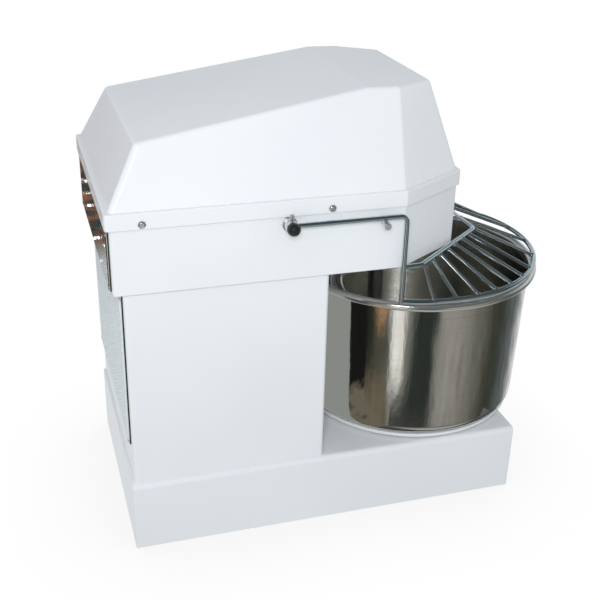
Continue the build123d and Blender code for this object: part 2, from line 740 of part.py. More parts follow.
def guard_rod():
    """Right-hand rod: level from its hub to the bend, then straight down to the ring."""
    y, z = GUARD_PIVOT
    start = (GUARD_X, y - PIN_R - PIVOT_GAP, z)
    knee = (GUARD_X, GUARD_LEG_Y, z)
    return bent_rod([start, knee, (GUARD_X, GUARD_LEG_Y, RING_Z - GUARD_ROD_R)], GUARD_ROD_R, GUARD_ROD_BEND)


def guard_rods():
    return group(both_sides(guard_rod()))


def without_legs(body):
    """Cope both ends of a guard piece around the legs of the rods."""
    for x in (-GUARD_X, GUARD_X):
        body -= upright(GUARD_ROD_R + WELD_GAP, grown((RING_Z, RAIL_Z), 2 * GUARD_ROD_R), (x, GUARD_LEG_Y))
    return max(body.solids(), key=lambda solid: solid.volume)


def ring_point(degrees):
    """Point on the right half of the ring by its angle from the front. The ring runs through both legs."""
    radius = math.hypot(GUARD_X, GUARD_LEG_Y - RING_CENTRE_Y)
    angle = math.radians(degrees)
    return Vector(radius * math.sin(angle), RING_CENTRE_Y - radius * math.cos(angle), RING_Z)


def full_ring():
    foot = Vector(GUARD_X, GUARD_LEG_Y, RING_Z)
    path = ThreePointArc(foot, ring_point(0.0), Vector(-foot.X, foot.Y, foot.Z))
    return sweep(Plane(origin=foot, z_dir=path % 0) * Circle(GUARD_ROD_R), path=path)


def rail_corners():
    """Plan corners of the inner rail on the right, from the leg to the middle of the front run."""
    return [(GUARD_X, GUARD_LEG_Y), *RAIL_CORNERS, (0.0, RAIL_CORNERS[-1][1])]


def full_rail():
    right = rail_corners()[:-1]
    corners = right + [(-x, y) for x, y in reversed(right)]
    return bent_rod([(x, y, RAIL_Z) for x, y in corners], GUARD_ROD_R, RAIL_BEND)


def guard_outer_ring():
    return without_legs(full_ring())


def guard_inner_rail():
    return without_legs(full_rail())


def rail_point(distance):
    """Point on the right half of the rail, measured along it from the middle of its front run."""
    corners = [Vector(x, y, RAIL_Z) for x, y in reversed(rail_corners())]
    for start, end in zip(corners, corners[1:]):
        run = (end - start).length
        if distance <= run:
            return start + (end - start) * (distance / run)
        distance -= run
    return corners[-1]


def guard_bars():
    ring, rail = full_ring(), full_rail()
    bars = []
    for (angle, angle_step), (distance, distance_step), count in (FRONT_BARS, SIDE_BARS):
        for i in range(count):
            ends = ring_point(angle + angle_step * i), rail_point(distance + distance_step * i)
            bar = rod(*ends, BAR_R) - ring - rail
            bars += both_sides(max(bar.solids(), key=lambda solid: solid.volume))
    return group(bars)


def pivot_pins():
    y, z = GUARD_PIVOT
    collar = rod((PIN_X[0], y, z), (BUSH_X[0] - PIVOT_GAP, y, z), PIN_COLLAR_R)
    return group(both_sides(collar + rod((PIN_X[0], y, z), (PIN_X[1], y, z), PIN_R)))


def pivot_bushes():
    y, z = GUARD_PIVOT
    sleeve = rod((BUSH_X[0], y, z), (BUSH_X[1], y, z), BUSH_R)
    flange = rod((HEAD_HALF_X, y, z), (BUSH_X[1], y, z), BUSH_FLANGE_R)
    return group(both_sides(sleeve + flange - rod((BUSH_X[0], y, z), (BUSH_X[1], y, z), PIN_R + FIT)))


def pivot_hubs():
    y, z = GUARD_PIVOT
    hub = rod((HUB_X[0], y, z), (HUB_X[1], y, z), PIVOT_HUB_R)
    hub = fillet(hub.edges(), PIVOT_HUB_EDGE) - rod((HUB_X[0], y, z), (PIN_X[1], y, z), PIN_R + FIT)
    hub -= rod((GUARD_X, y - PIVOT_HUB_R - 1, z), (GUARD_X, y - PIN_R, z), GUARD_ROD_R + FIT)
    return group(both_sides(hub - upright(SET_SCREW_R + FIT, (z, SET_SCREW_HEAD_Z[0]), (GUARD_X, y))))


def set_screws():
    """Screws that clamp the hubs on their pins, with round heads above the hubs."""
    at = (GUARD_X, GUARD_PIVOT[0])
    head = upright(SET_SCREW_HEAD_R, SET_SCREW_HEAD_Z, at)
    head = fillet(head.faces().sort_by(Axis.Z)[-1].edges(), SET_SCREW_DOME)
    return group(both_sides(head + upright(SET_SCREW_R, (SET_SCREW_LOW, SET_SCREW_HEAD_Z[0]), at)))


def ball_caps():
    y, z = GUARD_PIVOT
    ball = Pos(BALL_X, y, z) * Sphere(BALL_R)
    return group(both_sides(ball - block((HUB_X[0], HUB_X[1]), grown((y, y), BALL_R), grown((z, z), BALL_R))))


def stop_posts():
    y, z = POST_STOP_AT
    post = rod((POST_STOP_X[0], y, z), (POST_STOP_X[1], y, z), POST_STOP_R)
    return group(both_sides(fillet(post.faces().sort_by(Axis.X)[-1].edges(), POST_STOP_EDGE)))


def push_button(x):
    """Round cap with a stem that slides through the bezel."""
    cap = rod((x, BUTTON_Y[0], BUTTON_Z), (x, BUTTON_Y[1], BUTTON_Z), BUTTON_R)
    return fillet(cap.faces().sort_by(Axis.Y)[0].edges(), BUTTON_EDGE)


def start_button():
    return push_button(-BUTTON_X)


def stop_button():
    return push_button(BUTTON_X)


def button_bezels():
    front = rod((BUTTON_X, BEZEL_Y[0], BUTTON_Z), (BUTTON_X, HEAD_FRONT_Y, BUTTON_Z), BEZEL_R)
    front = fillet(front.faces().sort_by(Axis.Y)[0].edges(), BEZEL_EDGE)
    barrel = rod((BUTTON_X, BEZEL_Y[0], BUTTON_Z), (BUTTON_X, BEZEL_Y[1], BUTTON_Z), BEZEL_BARREL_R)
    bore = rod((BUTTON_X, BEZEL_Y[0], BUTTON_Z), (BUTTON_X, BEZEL_Y[1], BUTTON_Z), BUTTON_R + BUTTON_GAP)
    return group(both_sides(front + barrel - bore))


def button_contacts():
    x, z = [grown((middle, middle), CONTACT_HALF) for middle in (BUTTON_X, BUTTON_Z)]
    start, end = [(BUTTON_X, y, BUTTON_Z) for y in (CONTACT_Y[0], CONTACT_Y[0] + CONTACT_POCKET)]
    return group(both_sides(block(x, CONTACT_Y, z) - rod(start, end, BUTTON_R + BUTTON_GAP)))


def control_box():
    return block(*CONTROL_BOX)


def cable_gland():
    """Threaded body through the base wall with a nut and a domed cap outside."""
    inner, wall, outer = [(x, GLAND_Y, GLAND_Z) for x in
                          (BASE_HALF_X - GLAND_INSIDE, BASE_HALF_X, BASE_HALF_X + GLAND_OUTSIDE)]
    nut = Plane(origin=wall, z_dir=(1, 0, 0)) * extrude(RegularPolygon(GLAND_NUT_R, 6), GLAND_NUT)
    cap = fillet(rod(wall, outer, GLAND_CAP_R).faces().sort_by(Axis.X)[-1].edges(), GLAND_DOME)
    return rod(inner, wall, GLAND_R) + nut + cap - rod(inner, outer, GLAND_BORE_R)


NODES = (
    feet, base_shell, base_floor, base_plate, frame_posts, head_plate, column_shell, column_rear_panel,
    head_shell, head_rear_panel, panel_screws, hood, hood_screws, bowl, turntable, bowl_nut, bowl_shaft,
    bowl_housing, bowl_bearings, bowl_pulley, bowl_belt, idler_shaft, idler_pulley, idler_housing,
    idler_bearings, idler_belt, counter_shaft, counter_motor_pulley, counter_spiral_pulley,
    counter_bowl_pulley, counter_housings, counter_bearings, motor_belt, spiral_belt, spiral_pulley,
    spiral_shaft, spiral_housing, spiral_bearings, spiral_hook, breaker_bar, motor_body, motor_shaft,
    motor_pulley, guard_rods, guard_outer_ring, guard_inner_rail, guard_bars, pivot_pins, pivot_bushes,
    pivot_hubs, set_screws, ball_caps, stop_posts, start_button, stop_button, button_bezels,
    button_contacts, control_box, cable_gland,
)

os.makedirs("parts", exist_ok=True)
for node in NODES:
    shape = node()
    export_step(shape, f"parts/{node.__name__}.step")
    box = shape.bounding_box()
    print(f"{node.__name__}: {shape.volume / 1000:.1f} cm3, {len(shape.solids())} solids, "
          f"{box.min.Z:.1f} to {box.max.Z:.1f} mm high")
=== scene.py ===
# %% [markdown]
# # A spiral dough mixer, dressed for its portrait
# The machine is a white sheet-metal kneader: a box base, a column, a head with a faceted hood, a polished
# bowl that turns, a spiral hook inside it and a wire guard that hinges up. Its construction arrives as a
# fixed frame of solids in metres, +Z up, with the bowl towards -Y. This lesson adds the finishes, the fine
# shapes and the studio, and never moves one of those solids.

# %% Load the frame
import json
import math
import bmesh
import bpy
from mathutils import Matrix, Vector


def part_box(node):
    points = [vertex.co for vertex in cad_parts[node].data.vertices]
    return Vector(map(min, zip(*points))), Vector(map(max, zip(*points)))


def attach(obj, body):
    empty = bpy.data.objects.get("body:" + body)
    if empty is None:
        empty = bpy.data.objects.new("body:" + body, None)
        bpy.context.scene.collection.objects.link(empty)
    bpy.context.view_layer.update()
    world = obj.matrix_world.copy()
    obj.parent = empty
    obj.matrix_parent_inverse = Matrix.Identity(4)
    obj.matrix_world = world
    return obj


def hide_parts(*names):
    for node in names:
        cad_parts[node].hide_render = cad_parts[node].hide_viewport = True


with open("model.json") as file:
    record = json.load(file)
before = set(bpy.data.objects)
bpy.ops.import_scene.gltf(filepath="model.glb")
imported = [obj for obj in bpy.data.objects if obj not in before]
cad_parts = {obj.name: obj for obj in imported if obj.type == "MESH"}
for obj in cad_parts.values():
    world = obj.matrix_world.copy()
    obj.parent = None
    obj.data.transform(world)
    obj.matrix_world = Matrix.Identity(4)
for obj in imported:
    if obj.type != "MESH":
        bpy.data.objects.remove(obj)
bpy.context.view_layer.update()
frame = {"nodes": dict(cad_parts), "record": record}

MM = 0.001
nodes = frame["nodes"]
scene = bpy.context.scene

# %% [markdown]
# The camera stands behind the machine's left shoulder and looks down a little, so that the side, the rear
# and the hood's roof all show. Its place was worked out once from the straight edges of the machine in the
# picture. A camera could be aimed with a Track To constraint. Writing its three axes into the matrix is
# plainer, because it also holds the slight roll of a hand-held shot. The plain view transform keeps white
# paint white.

# %% Camera
CAMERA_PLACE = Vector((-1.4669, 0.4971, 1.0581))
CAMERA_TURN = -1.87408
CAMERA_TILT = 0.449747
CAMERA_ROLL = 0.024122
SENSOR_MM = 36.0
LENS_MM = 59.25


def camera_axes(turn, tilt, roll):
    """Right, up and backward directions of a camera that is turned, tilted and then rolled."""
    back = Vector((math.sin(turn) * math.cos(tilt), -math.cos(turn) * math.cos(tilt), math.sin(tilt)))
    level = Vector((math.cos(turn), math.sin(turn), 0.0))
    right = level * math.cos(roll) + back.cross(level) * math.sin(roll)
    return right, back.cross(right), back


camera = bpy.data.objects.new("camera", bpy.data.cameras.new("camera"))
camera.data.sensor_width = SENSOR_MM
camera.data.sensor_fit = "HORIZONTAL"
camera.data.lens = LENS_MM
camera_turned = Matrix(camera_axes(CAMERA_TURN, CAMERA_TILT, CAMERA_ROLL)).transposed().to_4x4()
camera.matrix_world = Matrix.Translation(CAMERA_PLACE) @ camera_turned
scene.collection.objects.link(camera)
scene.camera = camera
scene.view_settings.view_transform = "Standard"
print("camera at", tuple(round(value, 3) for value in CAMERA_PLACE))

# %% [markdown]
# Every material and every studio light below is a small tree of nodes, so the lesson needs one short way to
# add a node: name its kind, give each socket a value or another node's output, and set its options by name.

# %% Adding nodes


def add(tree, kind, sockets=None, **settings):
    """Add a node; a socket takes a plain value, a colour or another node's output."""
    made = tree.nodes.new(kind)
    for name, value in settings.items():
        setattr(made, name, value)
    for key, value in (sockets or {}).items():
        socket = made.inputs[key]
        if isinstance(value, bpy.types.NodeSocket):
            tree.links.new(value, socket)
        else:
            socket.default_value = (*value, 1.0) if socket.type == "RGBA" else value
    return made


def put(tree, kind, sockets=None, **settings):
    """Add a node and give back its first output."""
    return add(tree, kind, sockets, **settings).outputs[0]


print("node helpers ready")

# %% [markdown]
# Nearly every tree takes the same few steps: arithmetic with numbers and vectors, stretching a value from one
# range to another, mixing two colours, and soft random patches. Each is one node, so each gets one function.

# %% Steps that most trees take
# Nearly all of a noise lies in this range
NOISE_RANGE = (0.3, 0.7)


def calc(tree, operation, *values):
    """One step of arithmetic."""
    return put(tree, "ShaderNodeMath", dict(enumerate(values)), operation=operation)


def vector_calc(tree, operation, first, second, output="Vector"):
    """One step of arithmetic with vectors; a scale has a number as its second value."""
    sockets = {0: first, "Scale" if operation == "SCALE" else 1: second}
    return add(tree, "ShaderNodeVectorMath", sockets, operation=operation).outputs[output]


def combined(tree, x=0.0, y=0.0, z=0.0):
    """Three numbers as one vector."""
    return put(tree, "ShaderNodeCombineXYZ", {0: x, 1: y, 2: z})


def along(tree, vector, axis):
    """What a vector measures along one axis."""
    return add(tree, "ShaderNodeSeparateXYZ", {0: vector}).outputs[axis]


def spread(tree, value, low, high, to_low, to_high, **settings):
    """Stretch a value from one range to another, held inside it."""
    sockets = {"Value": value, "From Min": low, "From Max": high, "To Min": to_low, "To Max": to_high}
    return put(tree, "ShaderNodeMapRange", sockets, **settings)


def blend(tree, factor, first, second):
    """Mix two colours."""
    return add(tree, "ShaderNodeMix", {"Factor": factor, 6: first, 7: second}, data_type="RGBA").outputs[2]


def noise(tree, vector, scale, detail=2.0, roughness=0.5):
    """Soft random patches."""
    sockets = {"Vector": vector, "Scale": scale, "Detail": detail, "Roughness": roughness}
    return put(tree, "ShaderNodeTexNoise", sockets)


print("arithmetic, vectors, ranges, colours and noise")

# %% [markdown]
# The studio is a pale floor that runs into an equally pale background. A lit white plane would turn grey
# towards its edges. One that glows stays white, and an Ambient Occlusion node darkens it where the machine
# stands close, which is all the contact shadow that a cut-out needs.

# %% Floor
FLOOR_SIZE = 60.0
FLOOR_WHITE = 1.0
FLOOR_SHADE = 0.85
SHADE_REACH = 0.22
SHADE_SAMPLES = 8


def bare_material(name):
    """A material with an empty tree."""
    material = bpy.data.materials.new(name)
    material.use_nodes = True
    material.node_tree.nodes.clear()
    return material


def staged(name, corners, material, *hidden_from):
    """A four-cornered sheet of the studio, hidden from some kinds of ray."""
    mesh = bpy.data.meshes.new(name)
    mesh.from_pydata(corners, [], [(0, 1, 2, 3)])
    mesh.materials.append(material)
    sheet = bpy.data.objects.new(name, mesh)
    for ray in hidden_from:
        setattr(sheet, "visible_" + ray, False)
    scene.collection.objects.link(sheet)


def pale_floor():
    material = bare_material("pale_floor")
    tree = material.node_tree
    sockets = {"Distance": SHADE_REACH}
    open_sky = add(tree, "ShaderNodeAmbientOcclusion", sockets, samples=SHADE_SAMPLES).outputs["AO"]
    white = spread(tree, open_sky, 0.0, 1.0, FLOOR_SHADE, FLOOR_WHITE)
    add(tree, "ShaderNodeOutputMaterial", {"Surface": put(tree, "ShaderNodeEmission", {"Color": white})})
    return material


half = FLOOR_SIZE / 2
floor_corners = [(-half, -half, 0), (half, -half, 0), (half, half, 0), (-half, half, 0)]
staged("floor", floor_corners, pale_floor(), "diffuse", "glossy")
print("floor", FLOOR_SIZE, "m wide")

# %% [markdown]
# Polished steel only looks like steel when it has something to mirror, so rays that come from a glossy
# surface see a surround of their own. Cards on stands would do the same. Drawing it into the world by compass
# bearing keeps the floor free of stands in every view. Bearing and height waver a little, because hand
# polished sheet never mirrors a straight edge straight.

# %% Compass of the surround
PATCH_FLATNESS = 7.0
BEARING_WAVER = 0.06
BEARING_PATCHES = 5.0
LEVEL_WAVER = 0.012
LEVEL_PATCHES = 8.0

world = bpy.data.worlds.new("studio")
scene.world = world
world.use_nodes = True
studio = world.node_tree
studio.nodes.clear()
direction = add(studio, "ShaderNodeTexCoord").outputs["Generated"]
east, north, rise = (along(studio, direction, axis) for axis in "XYZ")
bearing = calc(studio, "ARCTAN2", north, east)
# Patches that are wide along the horizon and low in height
patchy = combined(studio, bearing, calc(studio, "MULTIPLY", rise, PATCH_FLATNESS))


def patches(vector, scale, low, high):
    """Uneven patches over the surround."""
    return spread(studio, noise(studio, vector, scale, 3.0), *NOISE_RANGE, low, high)


def within(value, start, full, fading, end):
    """One between full and fading, nothing before start or after end."""
    opening = spread(studio, value, start, full, 0.0, 1.0)
    return calc(studio, "MULTIPLY", opening, spread(studio, value, fading, end, 1.0, 0.0))


wavering = calc(studio, "ADD", bearing, patches(patchy, BEARING_PATCHES, -BEARING_WAVER, BEARING_WAVER))
level = calc(studio, "ADD", rise, patches(patchy, LEVEL_PATCHES, -LEVEL_WAVER, LEVEL_WAVER))
print("compass of the surround ready")

# %% [markdown]
# An upright round bowl mirrors the room as upright bands, one for each bearing. A Color Ramp over the compass
# gives those bands, from dark flags to bright strips, and three low strips break them in height. Their tones
# were set in several rounds, from colours measured along the bowl in the picture and in the render.

# %% Bands that steel mirrors
DARK_FLAG = (0.032, 0.040, 0.036)
# Compass bearing in degrees from +X towards +Y, and the tone there below the horizon
BANDS = (
    (-180, DARK_FLAG), (-176, DARK_FLAG), (-168, (0.33, 0.33, 0.31)), (-154, (0.36, 0.35, 0.33)),
    (-124, (0.16, 0.158, 0.143)), (-107, (0.058, 0.063, 0.05)), (-96, (0.052, 0.06, 0.05)),
    (-70, (0.16, 0.18, 0.19)), (-48, (0.72, 0.72, 0.73)), (-12, (0.5, 0.5, 0.5)),
    (97, (0.30, 0.32, 0.31)), (101, (0.012, 0.014, 0.012)), (120, (0.025, 0.027, 0.022)),
    (128, (0.065, 0.07, 0.055)), (139, (0.08, 0.09, 0.085)), (144, (1.0, 1.0, 0.98)),
    (153, (0.95, 0.94, 0.89)), (157, (0.25, 0.25, 0.235)), (163, (0.13, 0.14, 0.125)), (168, DARK_FLAG),
)
# Span of bearings, heights where the strip starts and is full, and its tone
LOW_STRIPS = (
    ((99, 142), (-0.552, -0.577), (0.18, 0.155, 0.11)),
    ((143, 172), (-0.567, -0.592), DARK_FLAG),
    ((125, 138), (-0.514, -0.502), (0.44, 0.27, 0.15)),
)
STRIP_SOFTNESS = 1.5
TONE_PATCHES = 11.0
TONE_WAVER = 0.35

bands = add(studio, "ShaderNodeValToRGB", {"Fac": spread(studio, wavering, -math.pi, math.pi, 0.0, 1.0)})
ramp = bands.color_ramp
while len(ramp.elements) < len(BANDS):
    ramp.elements.new(0.5)
for stop, (degrees, colour) in zip(ramp.elements, BANDS):
    stop.position = (degrees + 180) / 360
    stop.color = (*colour, 1.0)
below = bands.outputs["Color"]
for span, (start, full), colour in LOW_STRIPS:
    low, high, soft = (math.radians(value) for value in (*span, STRIP_SOFTNESS))
    across = within(wavering, low - soft, low + soft, high - soft, high + soft)
    share = calc(studio, "MULTIPLY", spread(studio, level, start, full, 0.0, 1.0), across)
    below = blend(studio, share, below, colour)
below = vector_calc(studio, "SCALE", below, patches(patchy, TONE_PATCHES, 1 - TONE_WAVER, 1 + TONE_WAVER))
print("surround of", len(BANDS), "bearings and", len(LOW_STRIPS), "low strips")

# %% [markdown]
# Two more things lie below the horizon. Close by there is a floor, dark at first and paler straight below, so
# the bowl keeps its form when it is seen from above. On the far side, which the polished rear sheets mirror,
# there is a pale floor under a band of dark and warm speckle with bright sparks, made by a noise and by the
# cells of a Voronoi texture.

# %% Floor and speckle in reflections
NEAR_FLOOR = -0.62
NEAR_FLOOR_EDGE = (NEAR_FLOOR + 0.02, NEAR_FLOOR - 0.04)
NEAR_FLOOR_FADE = (NEAR_FLOOR, NEAR_FLOOR - 0.2)
NEAR_FLOOR_DARK = (0.09, 0.09, 0.085)
NEAR_FLOOR_PALE = (0.45, 0.45, 0.43)
FAR_FLOOR = (0.80, 0.83, 0.83)
# Bearings in radians where the far side starts, is full, fades and ends
FAR_SPAN = (-0.25, -0.1, 0.5, 0.8)
SPECKLE_EDGE = (-0.40, -0.375)
SPECKLE_DARK = (0.05, 0.075, 0.07)
SPECKLE_WARM = (0.36, 0.16, 0.09)
SPECKLE_MIX = (-0.8, 1.6)
SPECKLES = 150.0
SPARK_TONE = (6.0, 6.0, 6.0)
SPARK_EDGE = (0.05, 0.12)
SPARKS = 70.0

speckle = blend(studio, patches(direction, SPECKLES, *SPECKLE_MIX), SPECKLE_DARK, SPECKLE_WARM)
sockets = {"Vector": combined(studio, bearing, rise), "Scale": SPARKS}
cells = add(studio, "ShaderNodeTexVoronoi", sockets, voronoi_dimensions="2D")
sparks = spread(studio, cells.outputs["Distance"], *SPARK_EDGE, 1.0, 0.0)
speckle = blend(studio, sparks, speckle, SPARK_TONE)
far_side = blend(studio, spread(studio, rise, *SPECKLE_EDGE, 0.0, 1.0), FAR_FLOOR, speckle)
steepness = spread(studio, rise, *NEAR_FLOOR_FADE, 0.0, 1.0)
near_floor = blend(studio, steepness, NEAR_FLOOR_DARK, NEAR_FLOOR_PALE)
below = blend(studio, spread(studio, rise, *NEAR_FLOOR_EDGE, 0.0, 1.0), below, near_floor)
below = blend(studio, within(bearing, *FAR_SPAN), below, far_side)
print("near floor, far floor and speckle added")

# %% [markdown]
# Above the horizon steel sees a bright band on the far side and a dark ceiling, which keeps round bars from
# shining all over. The light on paint has none of this: for rays that aren't glossy the surround is even,
# with brighter walls before, behind and beyond the machine that keep its turned-away sides from going grey.
# A Light Path node tells the rays apart, and the camera itself sees plain white.

# %% Sky, walls and the whole surround
AMBIENT = (0.545, 0.56, 0.575)
FRONT_WALL = 0.22
REAR_WALL = 0.5
FAR_WALL = 0.5
FAR_WALL_HEIGHT = (0.15, 0.6)
SKY_LOW = (0.62, 0.66, 0.70)
SKY_HIGH = (0.075, 0.09, 0.095)
CEILING = (0.36, 0.58)
NEAR_SIDE = (-0.3, 0.2)
HORIZON = (-0.15, 0.1)

ceiling = spread(studio, rise, *CEILING, 0.0, 1.0)
near_side = spread(studio, east, *NEAR_SIDE, 1.0, 0.0)
sky = blend(studio, calc(studio, "MAXIMUM", ceiling, near_side), SKY_LOW, SKY_HIGH)
mirrored = blend(studio, spread(studio, rise, *HORIZON, 0.0, 1.0), below, sky)
walls = spread(studio, north, 0.0, 1.0, 1.0, 1.0 + REAR_WALL)
walls = calc(studio, "ADD", walls, spread(studio, north, -1.0, 0.0, FRONT_WALL, 0.0))
far_wall = spread(studio, rise, *FAR_WALL_HEIGHT, FAR_WALL, 0.0)
walls = calc(studio, "MULTIPLY_ADD", spread(studio, east, 0.0, 1.0, 0.0, 1.0), far_wall, walls)
even = vector_calc(studio, "SCALE", AMBIENT, walls)
path = add(studio, "ShaderNodeLightPath")
lit = blend(studio, path.outputs["Is Glossy Ray"], even, mirrored)
seen = blend(studio, path.outputs["Is Camera Ray"], lit, (FLOOR_WHITE,) * 3)
add(studio, "ShaderNodeOutputWorld", {"Surface": put(studio, "ShaderNodeBackground", {"Color": seen})})
print("surround of", len(studio.nodes), "nodes")

# %% [markdown]
# Two lamps do separate jobs. The soft box beside the camera lights the paint and is kept out of reflections,
# where its disc would print hard white lines on every bar. A smaller lamp further right is seen by
# reflections alone: it puts a thin glint on the wires and a soft bright place on the bowl's rim.

# %% Lamps
LAMP_COLOUR = (0.98, 0.99, 1.0)
SOFT_BOX_RAISED = 0.12
SOFT_BOX_SIZE = 0.45
SOFT_BOX_WATTS = 11.8
GLINT_BEARING = math.radians(150)
GLINT_RISE = math.radians(26)
GLINT_DISTANCE = 2.0
GLINT_SIZE = 0.42
GLINT_WATTS = 4.2


def lamp(name, shape, size, watts, place):
    made = bpy.data.objects.new(name, bpy.data.lights.new(name, "AREA"))
    made.data.shape = shape
    made.data.size = size
    made.data.energy = watts
    made.data.color = LAMP_COLOUR
    made.matrix_world = place
    made.visible_camera = False
    scene.collection.objects.link(made)
    return made


beside_camera = Matrix.Translation((0, 0, SOFT_BOX_RAISED)) @ camera.matrix_world
lamp("soft_box", "DISK", SOFT_BOX_SIZE, SOFT_BOX_WATTS, beside_camera).visible_glossy = False
bowl_low, bowl_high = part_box("bowl")
bowl_axis = (bowl_low + bowl_high) / 2
reach = math.cos(GLINT_RISE)
towards = Vector((reach * math.cos(GLINT_BEARING), reach * math.sin(GLINT_BEARING), math.sin(GLINT_RISE)))
aimed = towards.to_track_quat("Z", "Y").to_matrix().to_4x4()
right_of_camera = Matrix.Translation(bowl_axis + towards * GLINT_DISTANCE) @ aimed
lamp("glint_lamp", "SQUARE", GLINT_SIZE, GLINT_WATTS, right_of_camera).visible_diffuse = False
print("soft box of", SOFT_BOX_WATTS, "W and glint lamp of", GLINT_WATTS, "W")

# %% [markdown]
# Six cards stand where only a mirror can see them, and each puts painted light or shade into the bowl's
# reflections. A black one with a brown foot before the column's left front edge is a painted dark reflection.
# A grey one before the rest of the column, and a brown, a pale and a bowl shade card just over the base top,
# are painted shade: the mirror shows them where the white column front and base top would be, as those look
# in shade. The bowl shade card is darkest close to the bowl, a painted contact shadow. A bright one on the
# bowl's bottom, which its far wall mirrors as an upright streak, is a painted highlight. They are hidden from
# the camera and from the light, and they glow on one side only, so the sheet right behind a card doesn't
# mirror it.

# %% Card tool
# Painted contact shadow: the bowl shade card turns from dark to pale across this width at the bowl's wall
CARD_SHADE_FADE = 25 * MM
# Painted shade: tone of the bowl shade card away from the bowl, where the base top is less shaded
CORNER_CARD = (0.2, 0.2, 0.195)
# Brown of a card's ragged foot; over the base top between bowl and column it is painted shade
BROWN_CARD = (0.18, 0.165, 0.125)
RAGGED = 0.2
RAGGED_PATCHES = 28.0
FOOT_SOFTNESS = 20 * MM

column_low, column_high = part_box("column_shell")
base_low, base_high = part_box("base_shell")


def card(name, colour, corners, foot=None, fades=False):
    """A card whose front only reflections see.

    Under the height foot it turns brown with a ragged edge. A card shaded near the bowl is darker close to it
    and paler away from it: a painted contact shadow."""
    material = bare_material(name)
    tree = material.node_tree
    where = add(tree, "ShaderNodeTexCoord").outputs["Object"]
    glow = add(tree, "ShaderNodeEmission", {"Color": colour})
    # Painted contact shadow: darker close to the bowl, paler away from it
    if fades:
        under_bowl = (bowl_axis.x, bowl_axis.y, base_high.z)
        away = vector_calc(tree, "DISTANCE", where, under_bowl, "Value")
        wall = bowl_high.x - bowl_axis.x
        pale = spread(tree, away, wall - CARD_SHADE_FADE, wall + CARD_SHADE_FADE, 0.0, 1.0)
        tree.links.new(blend(tree, pale, colour, CORNER_CARD), glow.inputs["Color"])
    if foot:
        ragged = calc(tree, "SUBTRACT", noise(tree, where, RAGGED_PATCHES, 3.0), 0.5)
        height = calc(tree, "MULTIPLY_ADD", ragged, -RAGGED, along(tree, where, "Z"))
        brown = spread(tree, height, foot + FOOT_SOFTNESS, foot - FOOT_SOFTNESS, 0.0, 1.0)
        tree.links.new(blend(tree, brown, colour, BROWN_CARD), glow.inputs["Color"])
    behind = add(tree, "ShaderNodeNewGeometry").outputs["Backfacing"]
    clear = put(tree, "ShaderNodeBsdfTransparent")
    one_sided = put(tree, "ShaderNodeMixShader", {0: behind, 1: glow.outputs[0], 2: clear})
    add(tree, "ShaderNodeOutputMaterial", {"Surface": one_sided})
    staged(name, corners, material, "camera", "diffuse", "shadow")


print("card tool ready")

# %% [markdown]
# The cards are placed from the boxes of column, base and bowl: upright ones a hair before the column, level
# ones a hair over the base top. The bright card is a narrow wedge that widens away from the wall it shows in.

# %% Six cards
CARD_GAP = 1.5 * MM
CARD_WIDTH = 52 * MM
CARD_EDGE_Y = -52 * MM
CARD_FOOT = 24 * MM
BOWL_RIM = 14 * MM
BOWL_SHEET = 2 * MM
# Painted dark reflection where the column's left front edge would show in the bowl
BLACK_CARD = (0.012, 0.013, 0.012)
# Painted shade: grey for the white column front and base top as they look in shade
GREY_CARD = (0.335, 0.36, 0.35)
# Painted shade: the base top round the bowl as the mirror shows it, darkest close to the bowl
BOWL_SHADE_CARD = (0.05, 0.05, 0.045)
# Painted highlight: this glow, mirrored by the bowl's far wall, is the upright streak a lamp would leave
# there
BRIGHT_CARD = (6.0, 6.1, 6.3)
# Corners of the bright card, seen from the bowl's axis
BRIGHT_CORNERS = ((30 * MM, -28 * MM), (30 * MM, -19 * MM), (-100 * MM, 6 * MM), (-100 * MM, -13 * MM))


def upright_card(name, colour, x, **turns):
    y, z = column_low.y - CARD_GAP, (base_high.z, bowl_high.z - BOWL_RIM)
    card(name, colour, [(x[0], y, z[0]), (x[1], y, z[0]), (x[1], y, z[1]), (x[0], y, z[1])], **turns)


def level_card(name, colour, x, y, **turns):
    z = base_high.z + CARD_GAP
    card(name, colour, [(x[0], y[0], z), (x[1], y[0], z), (x[1], y[1], z), (x[0], y[1], z)], **turns)


card_foot = base_high.z + CARD_FOOT
card_x = column_low.x + CARD_WIDTH
before_column = (CARD_EDGE_Y, column_low.y)
# A painted dark reflection, then painted shade of the column front
upright_card("black_card", BLACK_CARD, (column_low.x, card_x), foot=card_foot)
upright_card("grey_card", GREY_CARD, (card_x, column_high.x))
# Painted shade of the base top before the column: brown towards the left, grey beyond
level_card("brown_card", BLACK_CARD, (base_low.x, card_x), before_column, foot=card_foot)
level_card("pale_card", GREY_CARD, (card_x, base_high.x), before_column)
# Painted shade and painted contact shadow on the base top round the bowl
level_card("dark_card", BOWL_SHADE_CARD, (base_low.x, base_high.x), (base_low.y, CARD_EDGE_Y), fades=True)
bright_z = bowl_low.z + BOWL_SHEET + CARD_GAP
# Painted highlight inside the bowl
card("bright_card", BRIGHT_CARD, [(bowl_axis.x + x, bowl_axis.y + y, bright_z) for x, y in BRIGHT_CORNERS])
print("six cards for reflections")

# %% [markdown]
# Surface effects that several finishes share are shader groups: built once, placed in each material with its
# own values. A group only puts out numbers that change over the surface; the shader itself stays in the
# material. All of them read Object coordinates, which are metres in the machine's own frame, so grain keeps
# its real size.

# %% Shader groups
MARK_SOFTNESS = 0.25
SCRATCH_EDGE = (0.62, 0.72)


